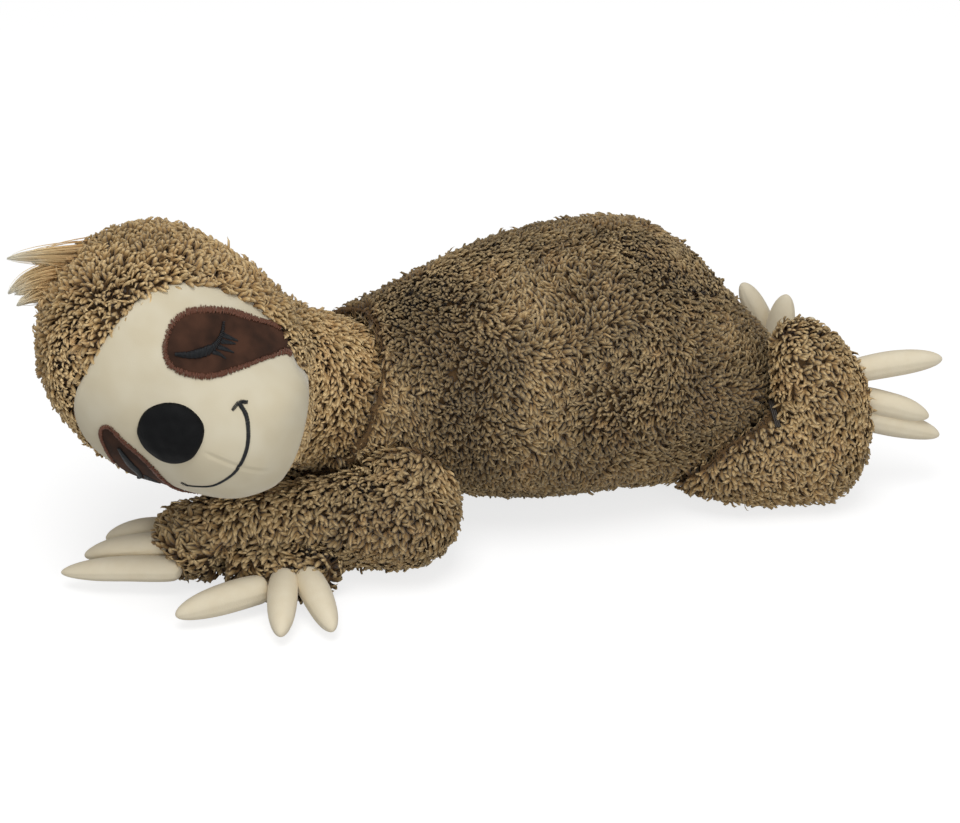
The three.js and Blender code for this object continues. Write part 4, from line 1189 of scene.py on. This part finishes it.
def open_curve(points, count):
    """Even steps of a smooth open curve through some points."""
    points = np.asarray(points, float)
    padded = np.vstack([2 * points[0] - points[1], points, 2 * points[-1] - points[-2]])
    t = np.linspace(0, 1, CURVE_STEPS, endpoint=False)[:, None]
    line = [smooth_between(*padded[i : i + 4], t) for i in range(len(points) - 1)]
    return even_steps(np.vstack([*line, points[-1:]]), count)


for name, points in LID_LINES.items():
    lid_piece = satin_stitches(
        f"{name}_eyelid_stitches", open_curve(points, LID_POINTS), LID_WIDTHS, LID_LIFT,
        LID_HUMP, BLACK_UNEVEN, black_thread,
    )
    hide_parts(f"{name}_eyelid_stitching")
    side = 1 if name == "left" else -1
    for number, lash in enumerate(LASHES):
        line = open_curve([(side * out, up) for out, up in lash], LASH_POINTS)
        satin_stitches(
            f"{name}_lash_{number + 1}", line, LASH_WIDTHS, LASH_LIFT, LASH_HUMP, BLACK_UNEVEN,
            black_thread,
        )

# Mouth: one smile of black satin stitches with a short tick across each end.

SMILE_LINE = (
    (27.2, -30.2), (24.9, -34.4), (21.3, -37.7), (14.8, -41.2), (8.1, -43.0), (0.4, -43.2),
    (-6.3, -42.3), (-13.6, -39.6), (-19.2, -36.3), (-24.5, -30.5), (-26.9, -27.4),
)
SMILE_WIDTHS = (1.7, 1.9, 1.9, 1.8, 1.7, 1.5, 1.2, 1.0, 0.8, 0.6, 0.5)
SMILE_TICKS = (
    ((23.9, -28.1), (26.4, -28.9), (28.0, -30.2), (28.9, -33.2)),
    ((-26.8, -24.4), (-26.9, -26.0), (-26.9, -27.6)),
)
TICK_WIDTHS = (1.2, 1.7, 1.7, 1.2)
SMILE_POINTS = 140
TICK_POINTS = 30
SMILE_LIFT = 0.05
TICK_LIFT = 0.1
SMILE_HUMP = 0.4

smile_piece = satin_stitches(
    "smile_stitches", open_curve(SMILE_LINE, SMILE_POINTS), SMILE_WIDTHS, SMILE_LIFT,
    SMILE_HUMP, BLACK_UNEVEN, black_thread,
)
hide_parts("mouth_stitching")
for number, tick in enumerate(SMILE_TICKS):
    satin_stitches(
        f"smile_tick_{number + 1}", open_curve(tick, TICK_POINTS), TICK_WIDTHS, TICK_LIFT,
        SMILE_HUMP, BLACK_UNEVEN, black_thread,
    )

# Claws: cream velboa horns, sewn flat from two halves, turned and stuffed firm. A seam runs
# round each one on its two sides.

CLAW_RINGS = 56
CLAW_SPOKES = 40
CLAW_HALF_WIDTH = 7.7
CLAW_ROOT_SHARE = 0.9
CLAW_FULLEST = 0.34
CLAW_CURVE = 3.0
CLAW_SEAM_DEPTH = 0.4
CLAW_SEAM_WIDTH = 0.1
CLAW_INSET = 0.5
CLAW_RIPPLE = 0.16
CLAW_RIPPLE_SIZE = 11
CLAW_FIRST_SEED = 40
# How full the claw stays toward its tip, how blunt the tip is, and how square the root.
CLAW_FULLNESS = 2.3
CLAW_BLUNTNESS = 0.52
CLAW_ROOT_SQUARENESS = 12
# Sideways and upright thickness of a paw's claws, as shares of the plain width.
PAW_CLAWS = {
    "left_hand": (1.0, 0.8), "right_hand": (1.0, 1.06),
    "left_foot": (0.84, 0.94), "right_foot": (1.08, 0.9),
}
# Steps of a claw's root and tip from the sewn place, in mm: soft claws lean on each other.
CLAW_STEPS = {
    "left_hand_claw_1": ((0.0, 0.0, -3.2), (-1.0, 0.0, -5.4)),
    "left_hand_claw_2": ((0.0, 0.0, 3.1), (-1.5, 0.0, -1.7)),
    "left_hand_claw_3": ((0.0, 0.0, 1.7), (-0.3, 0.0, 1.0)),
    "right_hand_claw_1": ((-3.0, 0.0, -2.6), (-5.0, 0.0, 1.8)),
    "right_hand_claw_2": ((-4.5, 0.0, 0.6), (-4.0, 0.0, 1.0)),
    "right_hand_claw_3": ((-7.2, 0.0, 0.6), (-2.2, 0.0, 0.6)),
    "left_foot_claw_1": ((0.0, 0.0, -1.5), (-0.5, 0.0, -3.0)),
    "left_foot_claw_2": ((0.0, 0.0, -4.2), (0.0, 0.0, -3.6)),
    "left_foot_claw_3": ((0.0, 0.0, -0.4), (2.6, 0.0, -0.6)),
    "right_foot_claw_1": ((0.0, 0.0, 1.0), (0.0, 0.0, 1.0)),
    "right_foot_claw_2": ((2.0, 0.0, 1.0), (3.6, 0.0, 0.2)),
    "right_foot_claw_3": ((8.0, 0.0, 1.0), (4.0, 0.0, 0.6)),
}

# Cream claw velboa: a paler cloth than the face's, with a rougher nap. It is matt, with a soft
# sheen along the claw's sides and a slight yellowing in soft spots.
CLAW_SHADES = ("#e1d3b5", "#ece2ca")
CLAW_NAP_SIZE = 0.7 * MM
CLAW_NAP_STRENGTH = 0.35
CLAW_SPOT_SIZE = 7 * MM
CLAW_FINISH = {"Roughness": 0.9, "Sheen Weight": 0.25, "Sheen Roughness": 0.4}

claw_cloth, claw_tree, claw_shader, claw_spot = new_material("cream_claw_velboa", CLAW_FINISH)
claw_nap = add_node(
    claw_tree, "ShaderNodeTexNoise", {},
    {"Vector": claw_spot, "Scale": 1 / CLAW_NAP_SIZE, "Detail": 4.0},
)
claw_spots = add_node(
    claw_tree, "ShaderNodeTexNoise", {},
    {"Vector": claw_spot, "Scale": 1 / CLAW_SPOT_SIZE, "Detail": 2.0},
)
claw_colour = add_node(
    claw_tree, "ShaderNodeMix", {"data_type": "RGBA"},
    {0: claw_spots.outputs[0], 6: colour(CLAW_SHADES[0]), 7: colour(CLAW_SHADES[1])},
)
claw_bump = add_node(
    claw_tree, "ShaderNodeBump", {},
    {"Height": claw_nap.outputs[0], "Strength": CLAW_NAP_STRENGTH, "Distance": NAP_HEIGHT},
)
claw_tree.links.new(claw_colour.outputs[2], claw_shader.inputs["Base Color"])
claw_tree.links.new(claw_bump.outputs[0], claw_shader.inputs["Normal"])

claw_axes = {}
for paw, (thick_side, thick_up) in PAW_CLAWS.items():
    hinge = joint_place[f"{paw}_claws_hinge"]
    for number in (1, 2, 3):
        node_name = f"{paw}_claw_{number}"
        points, _, _ = arrays_of(nodes[node_name].data)
        points = points.astype(float)
        middle = points.mean(0)
        _, _, ways = np.linalg.svd(points - middle, full_matrices=False)
        along = (points - middle) @ ways[0]
        ends = [middle + ways[0] * along.min(), middle + ways[0] * along.max()]
        if np.linalg.norm(ends[0] - hinge) > np.linalg.norm(ends[1] - hinge):
            ends.reverse()
        root_step, tip_step = CLAW_STEPS[node_name]
        way = unit((ends[1] - ends[0])[None])[0]
        root = ends[0] + way * CLAW_INSET * MM + np.array(root_step) * MM
        tip = ends[1] + np.array(tip_step) * MM
        claw_axes[node_name] = (root, tip)
        bend = (root + tip) / 2 + np.array([0, 0, CLAW_CURVE * MM])
        share = (1 - np.cos(np.linspace(0, math.pi, CLAW_RINGS)))[:, None] / 2
        spine = (1 - share) ** 2 * root + 2 * share * (1 - share) * bend + share**2 * tip
        ahead = unit(np.gradient(spine, axis=0))
        past = np.clip((share[:, 0] - CLAW_FULLEST) / (1 - CLAW_FULLEST), 0, 1)
        before = np.clip(1 - share[:, 0] / CLAW_FULLEST, 0, 1)
        radius = CLAW_HALF_WIDTH * MM * (1 - past**CLAW_FULLNESS) ** CLAW_BLUNTNESS
        radius *= 1 - (1 - CLAW_ROOT_SHARE) * before**2
        radius *= np.sqrt(1 - before**CLAW_ROOT_SQUARENESS)
        level = unit(np.cross(ahead, [[0.0, 0.0, 1.0]]))
        above = np.cross(level, ahead)
        turn = np.linspace(0, 2 * math.pi, CLAW_SPOKES, endpoint=False)
        in_seam = np.exp(-((np.sin(turn) / CLAW_SEAM_WIDTH) ** 2))
        out = radius[:, None] * (1 - CLAW_SEAM_DEPTH / CLAW_HALF_WIDTH * in_seam)
        rings = (
            spine[:, None]
            + level[:, None] * (out * np.cos(turn) * thick_side)[..., None]
            + above[:, None] * (out * np.sin(turn) * thick_up)[..., None]
        )
        spots = rings.reshape(-1, 3)
        ripple = slow_noise(spots, CLAW_RIPPLE_SIZE * MM, CLAW_FIRST_SEED + number)
        ripple = ripple * CLAW_RIPPLE * MM
        spots = spots + unit(spots - np.repeat(spine, CLAW_SPOKES, axis=0)) * ripple[:, None]
        ring, spoke = np.meshgrid(np.arange(CLAW_RINGS - 1), np.arange(CLAW_SPOKES), indexing="ij")
        a = (ring * CLAW_SPOKES + spoke).ravel()
        b = (ring * CLAW_SPOKES + (spoke + 1) % CLAW_SPOKES).ravel()
        c, d = b + CLAW_SPOKES, a + CLAW_SPOKES
        faces = np.concatenate([np.stack([a, b, c], 1), np.stack([a, c, d], 1)])
        claw_mesh = mesh_of(f"{node_name}_cloth", spots, faces)
        closed = bmesh.new()
        closed.from_mesh(claw_mesh)
        bmesh.ops.remove_doubles(closed, verts=closed.verts, dist=2 * SAME_PLACE)
        bmesh.ops.recalc_face_normals(closed, faces=closed.faces)
        closed.to_mesh(claw_mesh)
        closed.free()
        claw_mesh = outward_facing(claw_mesh, (root + tip) / 2)
        claw = new_piece(f"{node_name}_cloth", claw_mesh, claw_cloth, f"{paw}_claws")
        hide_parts(node_name)

# Tack stitch: three turns of a dark brown thread, drawn tight through the fold of the left leg,
# which holds the leg down on the hip. It is twisted like the embroidery, but thicker, and painted
# darker and lighter along its turns in the same way: painted shade and painted highlights.

# The tack thread's darker and lighter shade: painted shade and painted highlight along its turns.
TACK_THREAD_DARK_AND_LIT = ("#1f1a14", "#37302a")
TACK_THREAD_RADIUS = 0.7 * MM
TACK_SIDES = 8
TACK_TURNS = (-1.0 * MM, 0.0, 1.0 * MM)
TACK_STATIONS = (-1, -0.5, 0, 0.5, 1)

tack_low, tack_high = (np.array(corner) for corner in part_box("left_leg_tack_stitch"))
tack_middle = (tack_low + tack_high) / 2
tack_way = (tack_high - tack_low) * (0, 0.5, 0.5)
tack_thread = thread_material("brown_thread", TACK_THREAD_DARK_AND_LIT)
tack_paths = np.array([
    [tack_middle + np.array([turn, 0, 0]) + tack_way * part for part in TACK_STATIONS]
    for turn in TACK_TURNS
])
tack_radii = np.full(tack_paths.shape[:2], TACK_THREAD_RADIUS)
tack = new_piece(
    "leg_tack_thread",
    mesh_of("leg_tack_thread", *tube_arrays(tack_paths, tack_radii, TACK_SIDES)),
    tack_thread, "left_leg",
)
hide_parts("left_leg_tack_stitch")

# The stuffed bodies with their pile. Each has a lay of its own, and no locks grow where the
# face, a claw or the tack comes out, or deep inside a neighbour.

CLAW_CLEARANCE = 5.0 * MM
CLAW_COVERED = 3.0 * MM
TACK_CLEARANCE = 4.4 * MM
# Spacing, length and width of the locks, in mm.
LOCK_SIZES = {
    "torso": (1.65, 5.0, 2.15),
    "head": (1.8, 5.4, 2.4),
    "left_arm": (1.9, 5.8, 2.6),
    "right_arm": (1.9, 5.8, 2.6),
    "left_leg": (1.75, 5.2, 2.3),
    "right_leg": (1.85, 5.2, 2.3),
}
LOCK_MIDDLE = 3.0 * MM
PILE_FIRST_SEED = 100
PILE_SEED_STEP = 10
FACE_EDGE_BARE = 0.98
# How much lighter than the torso's a piece's pile is. This is painted light and shade: the same
# pile, lightened or darkened piece by piece for how brightly each piece is lit.
PILE_PAINTED_LIGHT = {
    "torso": -0.26, "head": 0.34, "left_arm": -0.11, "right_arm": -0.1, "left_leg": 0.12,
    "right_leg": 0.0,
}
# The way that each piece's pile was brushed.
LAYS = {
    "torso": (0.25, -0.15, -0.6),
    "head": (0.3, 0.2, -0.5),
    "left_arm": (-0.7, -0.3, -0.5),
    "right_arm": (-0.3, -0.8, -0.4),
    "left_leg": (0.5, -0.2, -0.4),
    "right_leg": (0.5, 0.2, -0.4),
}
PAWS = {
    "left_arm": "left_hand", "right_arm": "right_hand", "left_leg": "left_foot",
    "right_leg": "right_foot",
}
# Pieces that press on each one, in which its locks would be buried.
NEIGHBOURS = {
    "torso": ("head", "left_arm", "right_arm", "left_leg", "right_leg"),
    "head": ("torso", "left_arm", "right_arm"),
    "left_arm": ("torso", "head", "right_arm"),
    "right_arm": ("torso", "head", "left_arm"),
    "left_leg": ("torso",),
    "right_leg": ("torso",),
}


def distance_to_segment(places, start, end):
    """Distance from places to a straight line from one point to another."""
    way = end - start
    share = np.clip(((places - start) @ way) / (way @ way), 0, 1)
    return np.linalg.norm(places - start - share[:, None] * way, axis=1)


for number, (name, (members, body)) in enumerate(SKINS.items()):
    own_claws = [claw_axes[f"{PAWS[name]}_claw_{claw}"] for claw in (1, 2, 3) if name in PAWS]
    others = [trees[other] for other in NEIGHBOURS[name]]

    def keep(places, up, name=name, own_claws=own_claws, others=others):
        """True for places where a lock grows."""
        middles = places + up * LOCK_MIDDLE
        kept = np.array([not any(is_inside(tree, place) for tree in others) for place in middles])
        for root, tip in own_claws:
            bare_from = root + unit((tip - root)[None])[0] * CLAW_COVERED
            kept &= distance_to_segment(places, bare_from, tip) > CLAW_CLEARANCE
        kept &= distance_to_segment(
            places, tack_middle - tack_way, tack_middle + tack_way
        ) > TACK_CLEARANCE
        if name == "head":
            local = to_head(places)
            kept &= ~((local[:, 0] > FACE_FRONT) & (head_share(local) < FACE_EDGE_BARE))
        return kept

    cloth = new_piece(f"{name}_cloth", skins[name], backing, body)
    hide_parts(*members)
    cover_with_pile(
        name, skins[name], body, LAYS[name], LOCK_SIZES[name], PILE_PAINTED_LIGHT[name],
        PILE_FIRST_SEED + PILE_SEED_STEP * number, keep,
    )

# Tuft: five pointed strands of long straight hair, sewn into the crown, orange tan at the root
# and pale at the tip.

TUFT_STRANDS = 260
TUFT_STEPS = 9
TUFT_SPREAD = 1.9
# How wide the hairs fan at the root, how fast that narrows, and what stays of it at the tip.
TUFT_FAN = 1.2
TUFT_NARROWING = 0.7
TUFT_TIP_FAN = 0.12
TUFT_SHORTER = 0.45
HAIR_RADII = (0.3, 0.08)
HAIR_SIDES = 4
# Root, bend and tip of each strand, in the head.
TUFT_LOCKS = (
    ((-12.0, 26.5, 57.0), (-10.5, 14.5, 81.0), (-9.3, 6.2, 91.8)),
    ((-10.0, 20.5, 62.0), (-8.8, 12.5, 77.5), (-8.3, 11.4, 80.5)),
    ((-6.9, 13.6, 65.0), (-4.6, 4.5, 81.0), (-0.5, -6.8, 84.3)),
    ((-4.5, 9.0, 65.5), (-2.5, 1.0, 78.0), (-0.8, -5.8, 81.0)),
    ((-1.6, 4.3, 65.0), (0.3, -1.5, 73.5), (2.5, -9.3, 78.1)),
)

# Long hair pile: smooth acrylic fibres, which shine more than the curls do, orange tan at the
# root and bleached at the tip. A hair is drawn 0.6 mm thick, as a few that cling together.
HAIR_RAMP = ((0.0, "#c39a62"), (0.45, "#e0c491"), (1.0, "#f4f0de"))
HAIR_LIGHTNESS = (0.8, 1.15)

tuft_hair, tuft_tree, tuft_shader, _ = new_material("long_hair_pile", {"Roughness": 0.5})
tuft_map = add_node(tuft_tree, "ShaderNodeUVMap", {"uv_map": "OFBake"})
tuft_place = add_node(tuft_tree, "ShaderNodeSeparateXYZ", {}, {0: tuft_map.outputs[0]})
tuft_ramp = add_node(tuft_tree, "ShaderNodeValToRGB", {}, {0: tuft_place.outputs["Y"]})
for element, (_, code) in zip(tuft_ramp.color_ramp.elements, (HAIR_RAMP[0], HAIR_RAMP[-1])):
    element.color = colour(code)
for place, code in HAIR_RAMP[1:-1]:
    tuft_ramp.color_ramp.elements.new(place).color = colour(code)
tuft_light = add_node(
    tuft_tree, "ShaderNodeMapRange", {},
    {"Value": tuft_place.outputs["X"], "To Min": HAIR_LIGHTNESS[0], "To Max": HAIR_LIGHTNESS[1]},
)
tuft_tint = add_node(
    tuft_tree, "ShaderNodeHueSaturation", {},
    {"Color": tuft_ramp.outputs[0], "Value": tuft_light.outputs[0]},
)
tuft_tree.links.new(tuft_tint.outputs[0], tuft_shader.inputs["Base Color"])

paths = []
tints = []
for root, bend, tip in np.array(TUFT_LOCKS):
    spread = random.normal(0, 1, (TUFT_STRANDS, 3)) * TUFT_SPREAD
    share = np.linspace(0, 1, TUFT_STEPS)[None, :, None]
    middle_line = (1 - share) ** 2 * root + 2 * share * (1 - share) * bend + share**2 * tip
    fan = spread[:, None] * ((1 - share) ** TUFT_NARROWING * TUFT_FAN + TUFT_TIP_FAN)
    shorter = 1 - TUFT_SHORTER * random.random((TUFT_STRANDS, 1, 1)) ** 2 * share
    paths.append(to_world(root + (middle_line + fan - root) * shorter))
    tints.append(random.random(TUFT_STRANDS))
paths = np.concatenate(paths)
radii = np.repeat(np.linspace(*HAIR_RADII, TUFT_STEPS)[None] * MM, len(paths), 0)
tuft_mesh = mesh_of("crown_hair", *tube_arrays(paths, radii, HAIR_SIDES))
hair_tint = np.repeat(tint_column(np.concatenate(tints)), TUFT_STEPS * HAIR_SIDES)
hair_way = np.tile(np.repeat(np.linspace(0, 1, TUFT_STEPS), HAIR_SIDES), len(paths))
add_lock_map(tuft_mesh, np.stack([hair_tint, hair_way], axis=1))
crown_hair = new_piece("crown_hair", tuft_mesh, tuft_hair, "head")
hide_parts("hair_tuft")
